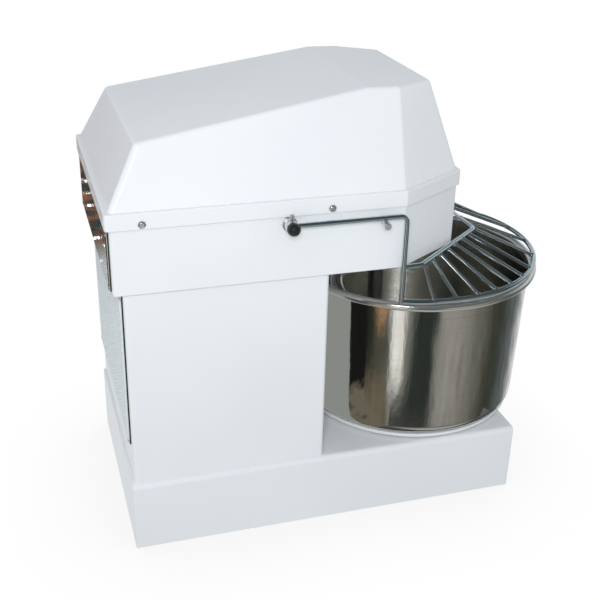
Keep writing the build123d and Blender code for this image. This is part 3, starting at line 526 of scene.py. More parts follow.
def shared_effect(name, inputs, outputs):
    """An empty shader group with a Vector input, named numbers and named outputs."""
    group = bpy.data.node_groups.new(name, "ShaderNodeTree")
    group.interface.new_socket("Vector", in_out="INPUT", socket_type="NodeSocketVector")
    for label, value in inputs.items():
        socket = group.interface.new_socket(label, in_out="INPUT", socket_type="NodeSocketFloat")
        socket.default_value = value
    for label in outputs:
        group.interface.new_socket(label, in_out="OUTPUT", socket_type="NodeSocketFloat")
    return group, group.nodes.new("NodeGroupInput").outputs, group.nodes.new("NodeGroupOutput").inputs


def stretched(tree, vector, level, upright):
    """Coordinates multiplied by one number in the level plane and by another in height."""
    x, y = (calc(tree, "MULTIPLY", along(tree, vector, axis), level) for axis in "XY")
    return combined(tree, x, y, calc(tree, "MULTIPLY", along(tree, vector, "Z"), upright))


def sprayed_grain():
    """Orange peel of sprayed enamel, and the broad unevenness of its tone."""
    inputs = {"Peel per metre": 420.0, "Mottle per metre": 4.0}
    group, given, results = shared_effect("sprayed_grain", inputs, ["Peel", "Mottle"])
    group.links.new(noise(group, given["Vector"], given["Peel per metre"], 1.0), results["Peel"])
    mottle = noise(group, given["Vector"], given["Mottle per metre"], 3.0)
    group.links.new(spread(group, mottle, *NOISE_RANGE, 0.0, 1.0), results["Mottle"])
    return group


def hand_marks():
    """Soft patches where hands and cloths have dulled a surface."""
    group, given, results = shared_effect("hand_marks", {"Marks per metre": 16.0, "Cover": 0.5}, ["Mask"])
    marks = noise(group, given["Vector"], given["Marks per metre"], 4.0, 0.6)
    edge = calc(group, "SUBTRACT", 1.0, given["Cover"])
    full = calc(group, "ADD", edge, MARK_SOFTNESS)
    group.links.new(spread(group, marks, edge, full, 0.0, 1.0), results["Mask"])
    return group


def turned_lines():
    """Fine level lines left by spinning, turning or polishing round an upright axis."""
    inputs = {"Lines per metre": 900.0, "Breaks per metre": 6.0}
    group, given, results = shared_effect("turned_lines", inputs, ["Lines", "Scratches"])
    drawn_out = stretched(group, given["Vector"], given["Breaks per metre"], given["Lines per metre"])
    lines = noise(group, drawn_out, 1.0)
    group.links.new(lines, results["Lines"])
    group.links.new(spread(group, lines, *SCRATCH_EDGE, 0.0, 1.0), results["Scratches"])
    return group


EFFECTS = {effect.__name__: effect() for effect in (sprayed_grain, hand_marks, turned_lines)}
print("shared effects:", ", ".join(EFFECTS))

# %% [markdown]
# A finish starts from a Principled shader. What is the same all over is typed into the shader's own sockets,
# and only what varies is linked. The helper below sets the plain values, places the shared effects and links
# tone, gloss and bump. The finishes are kept by the slot that the part's record names for each solid.

# %% Finish helpers
FINISHES = {}


class Finish:
    """A material in the making: its tree, its shader and the coordinates it reads."""

    def __init__(self, name, **plain):
        self.material = bpy.data.materials.new(name)
        self.material.use_nodes = True
        self.tree = self.material.node_tree
        self.shader = self.tree.nodes["Principled BSDF"]
        self.where = add(self.tree, "ShaderNodeTexCoord").outputs["Object"]
        for label, value in plain.items():
            self.shader.inputs[label.replace("_", " ")].default_value = value

    def effect(self, name, **values):
        """Place a shared effect and give back its outputs."""
        sockets = {label.replace("_", " "): value for label, value in values.items()}
        sockets["Vector"] = self.where
        return add(self.tree, "ShaderNodeGroup", sockets, node_tree=EFFECTS[name]).outputs

    def feed(self, label, value):
        self.tree.links.new(value, self.shader.inputs[label])

    def tone(self, mask, first, second):
        self.feed("Base Color", blend(self.tree, mask, first, second))

    def gloss(self, mask, low, high):
        self.feed("Roughness", spread(self.tree, mask, 0.0, 1.0, low, high))

    def bump(self, height, distance):
        self.feed("Normal", put(self.tree, "ShaderNodeBump", {"Height": height, "Distance": distance}))


print("finish helper ready")

# %% [markdown]
# White enamel covers every folded sheet. On the real machine it is sprayed and baked, so it is glossy,
# faintly blue, a little uneven in tone, and its reflections are broken by a fine orange peel. Primer on the
# inner frame, the lacquer of the perforated sheet and moulded plastics differ only in colour, gloss and
# grain, so one function makes them all.

# %% Enamel, primer and plastics


def sprayed(name, tones, gloss, peel, depth, mottle=4.0, marks=16.0, cover=0.5, **plain):
    """Uneven tone, dulled patches and a fine peel of the given depth."""
    finish = Finish(name, **plain)
    grain = finish.effect("sprayed_grain", Peel_per_metre=peel, Mottle_per_metre=mottle)
    finish.tone(grain["Mottle"], *tones)
    finish.gloss(finish.effect("hand_marks", Marks_per_metre=marks, Cover=cover)["Mask"], *gloss)
    finish.bump(grain["Peel"], depth)
    return finish.material


def moulded_plastic(name, tones, gloss):
    return sprayed(name, tones, gloss, peel=1500.0, depth=0.02 * MM, mottle=30.0, marks=70.0)


FINISHES["white_paint"] = sprayed(
    "white_enamel", tones=((0.785, 0.812, 0.832), (0.825, 0.848, 0.865)), gloss=(0.28, 0.32), peel=420.0,
    depth=0.03 * MM, marks=7.0, cover=0.62, Coat_Weight=0.25, Coat_Roughness=0.08, IOR=1.5)
FINISHES["grey_paint"] = sprayed(
    "grey_primer", tones=((0.20, 0.215, 0.235), (0.26, 0.275, 0.295)), gloss=(0.45, 0.6), peel=700.0,
    depth=0.06 * MM)
FINISHES["pale_sheet"] = sprayed(
    "pale_sheet", tones=((0.73, 0.81, 0.82), (0.79, 0.86, 0.87)), gloss=(0.35, 0.5), peel=600.0,
    depth=0.03 * MM, Coat_Weight=0.1)
FINISHES["black_plastic"] = moulded_plastic(
    "black_plastic", tones=((0.012, 0.014, 0.013), (0.02, 0.023, 0.021)), gloss=(0.32, 0.45))
FINISHES["grey_plastic"] = moulded_plastic(
    "grey_plastic", tones=((0.10, 0.105, 0.11), (0.125, 0.13, 0.135)), gloss=(0.35, 0.5))
FINISHES["green_plastic"] = moulded_plastic(
    "green_plastic", tones=((0.008, 0.16, 0.028), (0.012, 0.2, 0.035)), gloss=(0.18, 0.3))
FINISHES["red_plastic"] = moulded_plastic(
    "red_plastic", tones=((0.36, 0.008, 0.006), (0.43, 0.012, 0.009)), gloss=(0.18, 0.3))
print("sprayed and moulded finishes:", ", ".join(FINISHES))

# %% [markdown]
# Polished and plated metals show where they have been handled: the hook is mirror polished steel with a
# slight waver, the wire guard bright nickel-chrome, hubs and pegs zinc, screws satin chrome, and the head's
# rear sheet is polished flat. Soft marks change tone and gloss together.

# %% Polished and plated metals
# Tones of the clean metal and of its scratches or handled patches
POLISHED_STEEL = ((0.70, 0.685, 0.65), (0.60, 0.59, 0.56))
CHROME_TONES = ((0.58, 0.67, 0.70), (0.50, 0.585, 0.615))
SATIN_TONES = ((0.66, 0.67, 0.68), (0.58, 0.59, 0.60))
ZINC_TONES = ((0.90, 0.91, 0.91), (0.76, 0.78, 0.78))
REAR_TONES = ((0.80, 0.80, 0.79), (0.72, 0.72, 0.71))
POLISH_LINES = {"Lines_per_metre": 2200.0, "Breaks_per_metre": 3.0}
POLISH_MARKS = {"Marks_per_metre": 22.0, "Cover": 0.42}
# Waves of polished steel per metre, level and in height, and how much of the waver its fine lines are
POLISH_WAVES = (26.0, 7.0)
POLISH_LINE_DEPTH = 0.02
REAR_WAVES = 9.0


def mirror_steel():
    finish = Finish("mirror_steel", Metallic=1.0)
    turned = finish.effect("turned_lines", **POLISH_LINES)
    finish.tone(turned["Scratches"], *POLISHED_STEEL)
    finish.gloss(finish.effect("hand_marks", **POLISH_MARKS)["Mask"], 0.05, 0.12)
    waver = noise(finish.tree, stretched(finish.tree, finish.where, *POLISH_WAVES), 1.0, 3.0)
    lines = calc(finish.tree, "MULTIPLY", turned["Lines"], POLISH_LINE_DEPTH)
    finish.bump(calc(finish.tree, "ADD", waver, lines), 0.6 * MM)
    return finish.material


def plated(name, metallic, tones, gloss, marks, cover=0.5):
    """A metal whose handled patches differ in tone and gloss."""
    finish = Finish(name, Metallic=metallic)
    mask = finish.effect("hand_marks", Marks_per_metre=marks, Cover=cover)["Mask"]
    finish.tone(mask, *tones)
    finish.gloss(mask, *gloss)
    return finish


def rear_polish():
    finish = plated("rear_polish", 1.0, REAR_TONES, gloss=(0.02, 0.05), marks=30.0)
    finish.bump(noise(finish.tree, finish.where, REAR_WAVES), 0.3 * MM)
    return finish.material


CHROME = plated("bright_chrome", 1.0, CHROME_TONES, gloss=(0.08, 0.18), marks=60.0, cover=0.45).material
SATIN = plated("satin_chrome", 0.8, SATIN_TONES, gloss=(0.28, 0.36), marks=90.0).material
ZINC = plated("zinc_plate", 0.95, ZINC_TONES, gloss=(0.28, 0.36), marks=90.0).material
POLISH = rear_polish()
FINISHES["mirror_steel"] = mirror_steel()
FINISHES["bright_chrome"] = CHROME
print("mirror steel, chrome, satin chrome, zinc and rear polish")

# %% [markdown]
# Shafts, bearings and pulleys are plainly turned and show the lines of the lathe. Castings and rubber are
# rough and dull all over. They rarely show, but the part may be opened one day. The motor's paint has caught
# dust on whatever faces up, which is read from the surface normal.

# %% Turned metals, castings, rubber and motor paint
MOTOR_PAINT = ((0.075, 0.095, 0.12), (0.095, 0.115, 0.14))
DUST = (0.4, 0.39, 0.37)
DUST_PATCHES = 30.0
DUST_EDGE = (0.35, 0.8)
DUST_SLOPE = (0.5, 0.95)


def turned_metal(name, tones, gloss, lines, breaks, depth):
    finish = Finish(name, Metallic=1.0)
    turned = finish.effect("turned_lines", Lines_per_metre=lines, Breaks_per_metre=breaks)
    finish.tone(turned["Scratches"], *tones)
    finish.gloss(turned["Lines"], *gloss)
    finish.bump(turned["Lines"], depth)
    return finish.material


def rough(name, tones, gloss, peel, mottle, depth, **plain):
    finish = Finish(name, **plain)
    grain = finish.effect("sprayed_grain", Peel_per_metre=peel, Mottle_per_metre=mottle)
    finish.tone(grain["Mottle"], *tones)
    finish.gloss(grain["Mottle"], *gloss)
    finish.bump(grain["Peel"], depth)
    return finish.material


def motor_paint():
    finish = Finish("motor_paint", Coat_Weight=0.1)
    tree = finish.tree
    grain = finish.effect("sprayed_grain", Peel_per_metre=520.0)
    up = along(tree, add(tree, "ShaderNodeNewGeometry").outputs["Normal"], "Z")
    film = spread(tree, noise(tree, finish.where, DUST_PATCHES, 4.0, 0.65), *DUST_EDGE, 0.0, 1.0)
    dust = calc(tree, "MULTIPLY", spread(tree, up, *DUST_SLOPE, 0.0, 1.0), film)
    finish.tone(dust, blend(tree, grain["Mottle"], *MOTOR_PAINT), DUST)
    finish.gloss(dust, 0.35, 0.7)
    finish.bump(grain["Peel"], 0.08 * MM)
    return finish.material


FINISHES["machined_steel"] = turned_metal(
    "machined_steel", tones=((0.56, 0.555, 0.54), (0.42, 0.42, 0.41)), gloss=(0.2, 0.42), lines=1500.0,
    breaks=4.0, depth=0.05 * MM)
FINISHES["pulley_metal"] = turned_metal(
    "turned_aluminium", tones=((0.70, 0.70, 0.71), (0.55, 0.55, 0.56)), gloss=(0.22, 0.4), lines=1100.0,
    breaks=3.0, depth=0.06 * MM)
FINISHES["cast_housing"] = rough(
    "cast_iron", tones=((0.16, 0.16, 0.165), (0.24, 0.24, 0.245)), gloss=(0.5, 0.7), peel=900.0, mottle=25.0,
    depth=0.4 * MM, Metallic=1.0)
FINISHES["black_rubber"] = rough(
    "black_rubber", tones=((0.018, 0.018, 0.019), (0.032, 0.032, 0.033)), gloss=(0.6, 0.8), peel=1200.0,
    mottle=40.0, depth=0.15 * MM, Specular_IOR_Level=0.35)
FINISHES["motor_casing"] = motor_paint()
print(len(FINISHES), "slots have a finish")

# %% [markdown]
# The record of the part names a material slot for every solid. Giving each slot its finish dresses all the
# solids at once; the pieces modelled below take finishes of their own, most of them from the same set. Only
# hubs, bushes, set screws and pegs leave their slot's bright chrome for paler zinc.

# %% Dress the solids
ZINC_PLATED = ("stop_posts", "pivot_hubs", "pivot_bushes", "set_screws")

slot_of = {part["node"]: part["material_slot"] for part in frame["record"]["subparts"]}
for name, solid in nodes.items():
    solid.data.materials.clear()
    solid.data.materials.append(ZINC if name in ZINC_PLATED else FINISHES[slot_of[name]])
print(len(slot_of), "solids dressed in", len(FINISHES) + 1, "finishes")

# %% [markdown]
# New pieces are plain meshes at the origin whose place is in their points. One helper makes such an object,
# smooths it apart from its sharp folds, and says which body it rides on and which solids it stands for.

# %% Piece helpers
SHARP_FOLD = math.radians(35)
SAME_PLACE = 1e-6


def drawn(name, points, edges=(), faces=()):
    mesh = bpy.data.meshes.new(name)
    mesh.from_pydata([tuple(point) for point in points], edges, faces)
    return mesh


def reworked(mesh, change):
    """Open a mesh for editing, change it and close it again."""
    work = bmesh.new()
    work.from_mesh(mesh)
    change(work)
    work.to_mesh(mesh)
    work.free()
    return mesh


def smooth(work):
    """Smooth shading that stops at sharp folds."""
    for face in work.faces:
        face.smooth = True
    for edge in work.edges:
        edge.smooth = len(edge.link_faces) == 2 and edge.calc_face_angle(0.0) < SHARP_FOLD


def outward(work):
    """Close seams and turn every face outwards."""
    bmesh.ops.remove_doubles(work, verts=work.verts, dist=SAME_PLACE)
    bmesh.ops.recalc_face_normals(work, faces=work.faces)


def seat(name, mesh, body, slot, *stands_for):
    """Make the piece, let it ride on its body and hide the solids that it stands for."""
    piece = bpy.data.objects.new(name, reworked(mesh, smooth))
    scene.collection.objects.link(piece)
    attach(piece, body)
    if stands_for:
        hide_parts(*stands_for)
    print(f"{name}: {len(mesh.polygons)} faces on {body}")


print("piece helpers ready")

# %% [markdown]
# The bowl's steel has two faces. Outside it is mirror polished; inside and on the rim, where dough and cloths
# rub, it is satin. Inside its tone is also darker and a little warmer: painted shade for the shade inside the
# bowl. Two materials on one mesh would need a seam. One material that asks each point whether it faces the
# bowl's axis, and how high it lies, needs none.

# %% Bowl steel
RIM_RADIUS = 7.0 * MM
# Painted shade: the inside is toned darker and a little warmer than the polished outside
SHADED_INNER_STEEL = (0.74, 0.725, 0.66)
RIM_STEEL = (0.78, 0.77, 0.73)
RIM_METALLIC = 0.91
BOWL_GLOSS = (0.08, 0.14)
SATIN_ADDS = 0.09
FACES_AXIS = -0.002
FACES_UP = 0.6
# Inside the bowl the waves are faint and the turned lines strong
INNER_WAVES = 0.2
INNER_LINE_DEPTH = 0.45


def bowl_steel():
    finish = Finish("bowl_steel")
    tree = finish.tree
    facing = add(tree, "ShaderNodeTexCoord").outputs["Normal"]
    around = vector_calc(tree, "SUBTRACT", finish.where, (bowl_axis.x, bowl_axis.y, bowl_low.z))
    from_axis = vector_calc(tree, "MULTIPLY", around, (1, 1, 0))
    outwards = vector_calc(tree, "DOT_PRODUCT", facing, from_axis, "Value")
    wall = calc(tree, "LESS_THAN", outwards, FACES_AXIS)
    inside = calc(tree, "MAXIMUM", wall, calc(tree, "GREATER_THAN", along(tree, facing, "Z"), FACES_UP))
    rim_height = bowl_high.z - 2 * RIM_RADIUS - bowl_low.z
    rim = calc(tree, "GREATER_THAN", along(tree, around, "Z"), rim_height)
    inside = calc(tree, "MULTIPLY", inside, calc(tree, "SUBTRACT", 1.0, rim))
    finish.feed("Metallic", spread(tree, rim, 0.0, 1.0, 1.0, RIM_METALLIC))
    turned = finish.effect("turned_lines", **POLISH_LINES)
    polished = blend(tree, turned["Scratches"], *POLISHED_STEEL)
    # Inside, the tone is the painted shade tone; on the rim it is the rim's steel
    finish.tone(rim, blend(tree, inside, polished, SHADED_INNER_STEEL), RIM_STEEL)
    gloss = spread(tree, finish.effect("hand_marks", **POLISH_MARKS)["Mask"], 0.0, 1.0, *BOWL_GLOSS)
    satin = calc(tree, "MAXIMUM", inside, rim)
    finish.feed("Roughness", calc(tree, "MULTIPLY_ADD", satin, SATIN_ADDS, gloss))
    waver = noise(tree, stretched(tree, finish.where, *POLISH_WAVES), 1.0, 4.0, 0.6)
    waver = calc(tree, "MULTIPLY", waver, spread(tree, inside, 0.0, 1.0, 1.0, INNER_WAVES))
    line_depth = spread(tree, inside, 0.0, 1.0, POLISH_LINE_DEPTH, INNER_LINE_DEPTH)
    lines = calc(tree, "MULTIPLY", turned["Lines"], line_depth)
    finish.bump(calc(tree, "ADD", waver, lines), 0.4 * MM)
    return finish.material


BOWL_STEEL = bowl_steel()
print("bowl steel, satin inside")

# %% [markdown]
# The bowl is spun from one disc of steel: a flat bottom, a small corner, a wall that flares slightly and an
# edge rolled outwards over a wire. A Screw modifier would turn a profile too; turning it in a loop keeps the
# profile readable as a list of straight runs and arcs, and the points land on the solid it stands for.

# %% Bowl
BOWL_CORNER = 18.0 * MM
SPIGOT_HOLE = 12.6 * MM
BOWL_FLARE = 6.7 * MM
BOWL_STEPS = 192


def arc(centre, radius, start, end, steps):
    """Points on a circle in the (radius, height) plane, angles in degrees."""
    turns = [math.radians(start + (end - start) * i / steps) for i in range(steps + 1)]
    return [(centre[0] + radius * math.cos(turn), centre[1] + radius * math.sin(turn)) for turn in turns]


def turned_piece(name, outline, axis, steps):
    """A closed (radius, height) outline turned about an upright axis."""
    points, faces = [], []
    count = len(outline)
    for i in range(steps):
        turn = math.tau * i / steps
        for radius, height in outline:
            points.append((axis.x + radius * math.cos(turn), axis.y + radius * math.sin(turn), height))
    for i in range(steps):
        here, there = i * count, (i + 1) % steps * count
        for k in range(count):
            after = (k + 1) % count
            faces.append((here + k, there + k, there + after, here + after))
    return reworked(drawn(name, points, faces=faces), outward)


def bowl_outline():
    bottom = bowl_low.z
    rim_centre = ((bowl_high.x - bowl_low.x) / 2 - RIM_RADIUS, bowl_high.z - RIM_RADIUS)
    inner_top = rim_centre[0] - RIM_RADIUS
    tuck = math.degrees(math.acos((inner_top + BOWL_SHEET - rim_centre[0]) / RIM_RADIUS))
    inner_corner = BOWL_CORNER - BOWL_SHEET
    corner_centre = (inner_top - BOWL_FLARE - inner_corner, bottom + BOWL_CORNER)
    inside = arc(corner_centre, inner_corner, -90, 0, steps=10)
    roll = arc(rim_centre, RIM_RADIUS, 180, -tuck, steps=30)
    outside = arc(corner_centre, BOWL_CORNER, 0, -90, steps=12)
    return [(SPIGOT_HOLE, bottom + BOWL_SHEET), *inside, *roll, *outside, (SPIGOT_HOLE, bottom)]


bowl_mesh = turned_piece("spun_bowl", bowl_outline(), bowl_axis, BOWL_STEPS)
bowl_mesh.materials.append(BOWL_STEEL)
seat("spun_bowl", bowl_mesh, "bowl_group", "mirror_steel", "bowl")

# %% [markdown]
# Geometry Nodes make what repeats or follows a path on this machine: bars, weld beads, the hook, screws and
# perforations. Each tool is a tree with named inputs. Its result is kept as a plain mesh, with instances made
# real, because only real geometry can be exported.

# %% Geometry Nodes helpers


def node_tool(name, **inputs):
    """An empty Geometry Nodes tree with named inputs, a Geometry in and a Geometry out."""
    tree = bpy.data.node_groups.new(name, "GeometryNodeTree")
    for label, kind in {"Geometry": "Geometry", **inputs, "Finish": "Material"}.items():
        socket_type = "NodeSocket" + kind
        tree.interface.new_socket(label.replace("_", " "), in_out="INPUT", socket_type=socket_type)
    tree.interface.new_socket("Geometry", in_out="OUTPUT", socket_type="NodeSocketGeometry")
    return tree, tree.nodes.new("NodeGroupInput").outputs


def together(tree, *parts):
    """Several geometries as one."""
    whole = add(tree, "GeometryNodeJoinGeometry")
    for part in parts:
        tree.links.new(part, whole.inputs[0])
    return whole.outputs[0]


def finished(tree, geometry, finish):
    """End a tool: real geometry, smooth, in its finish."""
    real = put(tree, "GeometryNodeRealizeInstances", {"Geometry": geometry})
    soft = put(tree, "GeometryNodeSetShadeSmooth", {"Geometry": real})
    dressed = put(tree, "GeometryNodeSetMaterial", {"Geometry": soft, "Material": finish})
    add(tree, "NodeGroupOutput", {"Geometry": dressed})
    return tree


def grown(name, start, tool, **values):
    """Run a tool on a start mesh and keep the result as a plain mesh."""
    carrier = bpy.data.objects.new(name, start)
    scene.collection.objects.link(carrier)
    modifier = carrier.modifiers.new("tool", "NODES")
    modifier.node_group = tool
    for item in tool.interface.items_tree:
        key = item.name.replace(" ", "_")
        if item.in_out == "INPUT" and key in values:
            modifier[item.identifier] = values[key]
    evaluated = carrier.evaluated_get(bpy.context.evaluated_depsgraph_get())
    mesh = bpy.data.meshes.new_from_object(evaluated)
    mesh.name = name
    carrier.modifiers.remove(modifier)
    bpy.data.objects.remove(carrier)
    return mesh


print("Geometry Nodes helpers ready")

# %% [markdown]
# Round bars that follow a path are the guard's whole story, so one tool makes them all: it reads the edges of
# a drawn mesh as paths, rounds their corners and sweeps a circle along them. Curves with a bevel would look
# alike, but the node tool keeps the radius and the bend as named inputs that can be changed later.

# %% Round bar tool
BEND_STEPS = 10


def swept(tree, path, sides, radius):
    """A circle swept along a path, with closed ends."""
    section = put(tree, "GeometryNodeCurvePrimitiveCircle", {"Resolution": sides, "Radius": radius})
    return put(tree, "GeometryNodeCurveToMesh", {"Curve": path, "Profile Curve": section, "Fill Caps": True})


def round_bar_tool():
    tree, given = node_tool("round_bar", Radius="Float", Bend="Float", Sides="Int")
    path = put(tree, "GeometryNodeMeshToCurve", {"Mesh": given["Geometry"]})
    sockets = {"Curve": path, "Count": BEND_STEPS, "Radius": given["Bend"]}
    bent = put(tree, "GeometryNodeFilletCurve", sockets, mode="POLY")
    return finished(tree, swept(tree, bent, given["Sides"], given["Radius"]), given["Finish"])


def paths(name, runs):
    """A mesh of edges only: each run is a list of points."""
    points, edges = [], []
    for run in runs:
        first = len(points)
        points += run
        edges += [(i, i + 1) for i in range(first, len(points) - 1)]
    return drawn(name, points, edges)


ROUND_BAR = round_bar_tool()
print("round bar tool with inputs", [item.name for item in ROUND_BAR.interface.items_tree])

# %% [markdown]
# The guard is welded from round bar. Two rods run level from their hubs, bend down and end on an outer ring
# that follows the bowl's edge; an inner rail with two knees on each side runs round the machine's nose;
# eighteen thin bars fan out between rail and ring. Most sizes come from the solids' own boxes; only the
# knees and the fan are stated here.

# %% Guard paths
RAIL_KNEES = ((206.5 * MM, -91 * MM), (88 * MM, -235.5 * MM))
# Angle on the ring and distance along the rail, each as first value and step, then the bars on each side
FRONT_BARS = ((8.5, 17.0), (32 * MM, 56 * MM), 2)
SIDE_BARS = ((40.5, 9.8), (112 * MM, 26.3 * MM), 7)
RING_STEPS = 128

ring_low, ring_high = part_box("guard_outer_ring")
rod_low, rod_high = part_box("guard_rods")
rail_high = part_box("guard_inner_rail")[1]
ROD_RADIUS = (ring_high.z - ring_low.z) / 2
GUARD_X = rod_high.x - ROD_RADIUS
RING_RADIUS = ring_high.x - ROD_RADIUS
RING_Y = ring_low.y + ROD_RADIUS + RING_RADIUS
RING_Z = ring_high.z - ROD_RADIUS
RAIL_Z = rail_high.z - ROD_RADIUS
LEG_Y = rod_low.y + ROD_RADIUS
ROD_Z = rod_high.z - ROD_RADIUS


def other_side(run):
    """A run of points mirrored to the other side of the machine."""
    return [Vector((-point.x, point.y, point.z)) for point in run]


def ring_point(degrees):
    """A place on the ring by its angle from the front."""
    turn = math.radians(degrees)
    return Vector((RING_RADIUS * math.sin(turn), RING_Y - RING_RADIUS * math.cos(turn), RING_Z))


def rail_point(distance):
    """A place on the rail's half at +X, measured along it from the middle of its front run."""
    for start, end in zip(rail_run[::-1], rail_run[-2::-1]):
        run = (end - start).length
        if distance <= run:
            return start.lerp(end, distance / run)
        distance -= run
    return rail_run[0]


rail_run = [Vector((x, y, RAIL_Z)) for x, y in ((GUARD_X, LEG_Y), *RAIL_KNEES, (0.0, RAIL_KNEES[-1][1]))]
rod_run = [Vector((GUARD_X, y, z)) for y, z in ((rod_high.y, ROD_Z), (LEG_Y, ROD_Z), (LEG_Y, rod_low.z))]
ring_end = 180 - math.degrees(math.asin(GUARD_X / RING_RADIUS))
ring_run = [ring_point(ring_end * (1 - 2 * i / RING_STEPS)) for i in range(RING_STEPS + 1)]
bar_runs = []
for (angle, angle_step), (distance, distance_step), count in (FRONT_BARS, SIDE_BARS):
    for i in range(count):
        run = [rail_point(distance + distance_step * i), ring_point(angle + angle_step * i)]
        bar_runs += [run, other_side(run)]
print(len(bar_runs), "bars between rail and ring")

# %% [markdown]
# Each set of paths becomes one piece of bright chrome on the guard's body. Rods and rail are bent cold, so
# their corners have a radius; the ring's path is already round, and the bars of the fan are straight.

# %% Guard rods, ring, rail and bars
ROD_BEND = 10 * MM
RAIL_BEND = 12 * MM
BAR_RADIUS = 3 * MM


def guard_piece(name, stands_for, runs, radius, sides, bend=0.0):
    mesh = grown(name, paths(name, runs), ROUND_BAR, Radius=radius, Bend=bend, Sides=sides, Finish=CHROME)
    seat(name, mesh, "guard", "bright_chrome", stands_for)


rod_pair = [rod_run, other_side(rod_run)]
whole_rail = rail_run + other_side(rail_run[-2::-1])
guard_piece("guard_rod_pair", "guard_rods", rod_pair, ROD_RADIUS, sides=24, bend=ROD_BEND)
guard_piece("guard_ring", "guard_outer_ring", [ring_run], ROD_RADIUS, sides=20)
guard_piece("guard_rail", "guard_inner_rail", [whole_rail], ROD_RADIUS, sides=24, bend=RAIL_BEND)
guard_piece("guard_fan", "guard_bars", bar_runs, BAR_RADIUS, sides=16)

# %% [markdown]
# Where two bars meet, the welder left a small bead. Beads are the classic job for Instance on Points: one
# little ball, scattered on the joints with a seeded random size, then made real so that it can be exported.

# %% Weld beads
BEAD_SEED = 7
BEAD_RADIUS = BAR_RADIUS * 1.35
BEAD_SIZES = (0.85, 1.15)
# Share of the rod's radius between the middle of a rod and the bead on it
BEAD_REACH = 0.8


def weld_bead_tool():
    tree, given = node_tool("weld_beads", Radius="Float", Seed="Int")
    ball = put(tree, "GeometryNodeMeshIcoSphere", {"Radius": given["Radius"], "Subdivisions": 3})
    sockets = {2: BEAD_SIZES[0], 3: BEAD_SIZES[1], "Seed": given["Seed"]}
    size = add(tree, "FunctionNodeRandomValue", sockets, data_type="FLOAT").outputs[1]
    sockets = {"Points": given["Geometry"], "Instance": ball, "Scale": size}
    return finished(tree, put(tree, "GeometryNodeInstanceOnPoints", sockets), given["Finish"])


bead_points = []
for start, end in bar_runs:
    step = (end - start).normalized() * ROD_RADIUS * BEAD_REACH
    bead_points += [start + step, end - step]
for side in (-1, 1):
    bead_points += [Vector((side * GUARD_X, LEG_Y - ROD_RADIUS, z)) for z in (RAIL_Z, RING_Z)]
bead_mesh = grown("weld_beads", drawn("weld_beads", bead_points), weld_bead_tool(), Radius=BEAD_RADIUS,
                  Seed=BEAD_SEED, Finish=CHROME)
seat("weld_beads", bead_mesh, "guard", "bright_chrome")

# %% [markdown]
# The hook follows a rule: out from its shaft, round and down in a coil that flattens towards the bottom, and
# in again at its tip. Written as nodes the rule stays visible: Spline Parameter says how far along the bar a
# point lies, and a few steps of arithmetic turn that into a radius, an angle and a height.

# %% Hook tool
HOOK_TURNS = 2.1
HOOK_RADIUS = 63 * MM
HOOK_TIP_RADIUS = 22 * MM
HOOK_BAR = 12 * MM
HOOK_TOP = 405 * MM
HOOK_LOW = 152 * MM
HOOK_FLATTENING = 1.6
LEAVING_TURN = 0.55
CLOSING_TURN = 1.6
HOOK_POINTS = 360
HOOK_SIDES = 32


def coil_place(tree, given):
    """Where a point of the coil lies, by its share of the bar's length."""
    share = add(tree, "GeometryNodeSplineParameter").outputs["Factor"]
    turn = calc(tree, "MULTIPLY", share, given["Turns"])
    leaving = spread(tree, turn, 0.0, LEAVING_TURN, 0.0, given["Radius"], interpolation_type="SMOOTHSTEP")
    tuck = calc(tree, "SUBTRACT", given["Radius"], given["Tip radius"])
    closing = spread(tree, turn, CLOSING_TURN, HOOK_TURNS, 0.0, tuck, interpolation_type="SMOOTHSTEP")
    radius = calc(tree, "SUBTRACT", leaving, closing)
    angle = calc(tree, "MULTIPLY", turn, math.tau)
    x = calc(tree, "MULTIPLY", radius, calc(tree, "COSINE", angle))
    y = calc(tree, "MULTIPLY", radius, calc(tree, "SINE", angle))
    fall = calc(tree, "POWER", calc(tree, "SUBTRACT", 1.0, share), given["Flattening"])
    height = calc(tree, "SUBTRACT", given["Top"], given["Bottom"])
    z = calc(tree, "MULTIPLY_ADD", height, fall, given["Bottom"])
    return vector_calc(tree, "ADD", combined(tree, x, y, z), given["Axis"])


def hook_tool():
    sizes = ("Turns", "Radius", "Tip radius", "Bar radius", "Top", "Bottom", "Flattening")
    tree, given = node_tool("coiled_hook", **{label: "Float" for label in sizes}, Axis="Vector")
    line = put(tree, "GeometryNodeCurvePrimitiveLine", {"Start": (0, 0, 0), "End": (0, 0, -1)})
    line = put(tree, "GeometryNodeResampleCurve", {"Curve": line, "Count": HOOK_POINTS})
    coil = put(tree, "GeometryNodeSetPosition", {"Geometry": line, "Position": coil_place(tree, given)})
    bar = swept(tree, coil, HOOK_SIDES, given["Bar radius"])
    last = put(tree, "GeometryNodeCurveEndpointSelection", {"Start Size": 0, "End Size": 1})
    sockets = {"Segments": HOOK_SIDES, "Rings": HOOK_SIDES // 2, "Radius": given["Bar radius"]}
    ball = put(tree, "GeometryNodeMeshUVSphere", sockets)
    tip = put(tree, "GeometryNodeInstanceOnPoints", {"Points": coil, "Selection": last, "Instance": ball})
    return finished(tree, together(tree, bar, tip), given["Finish"])


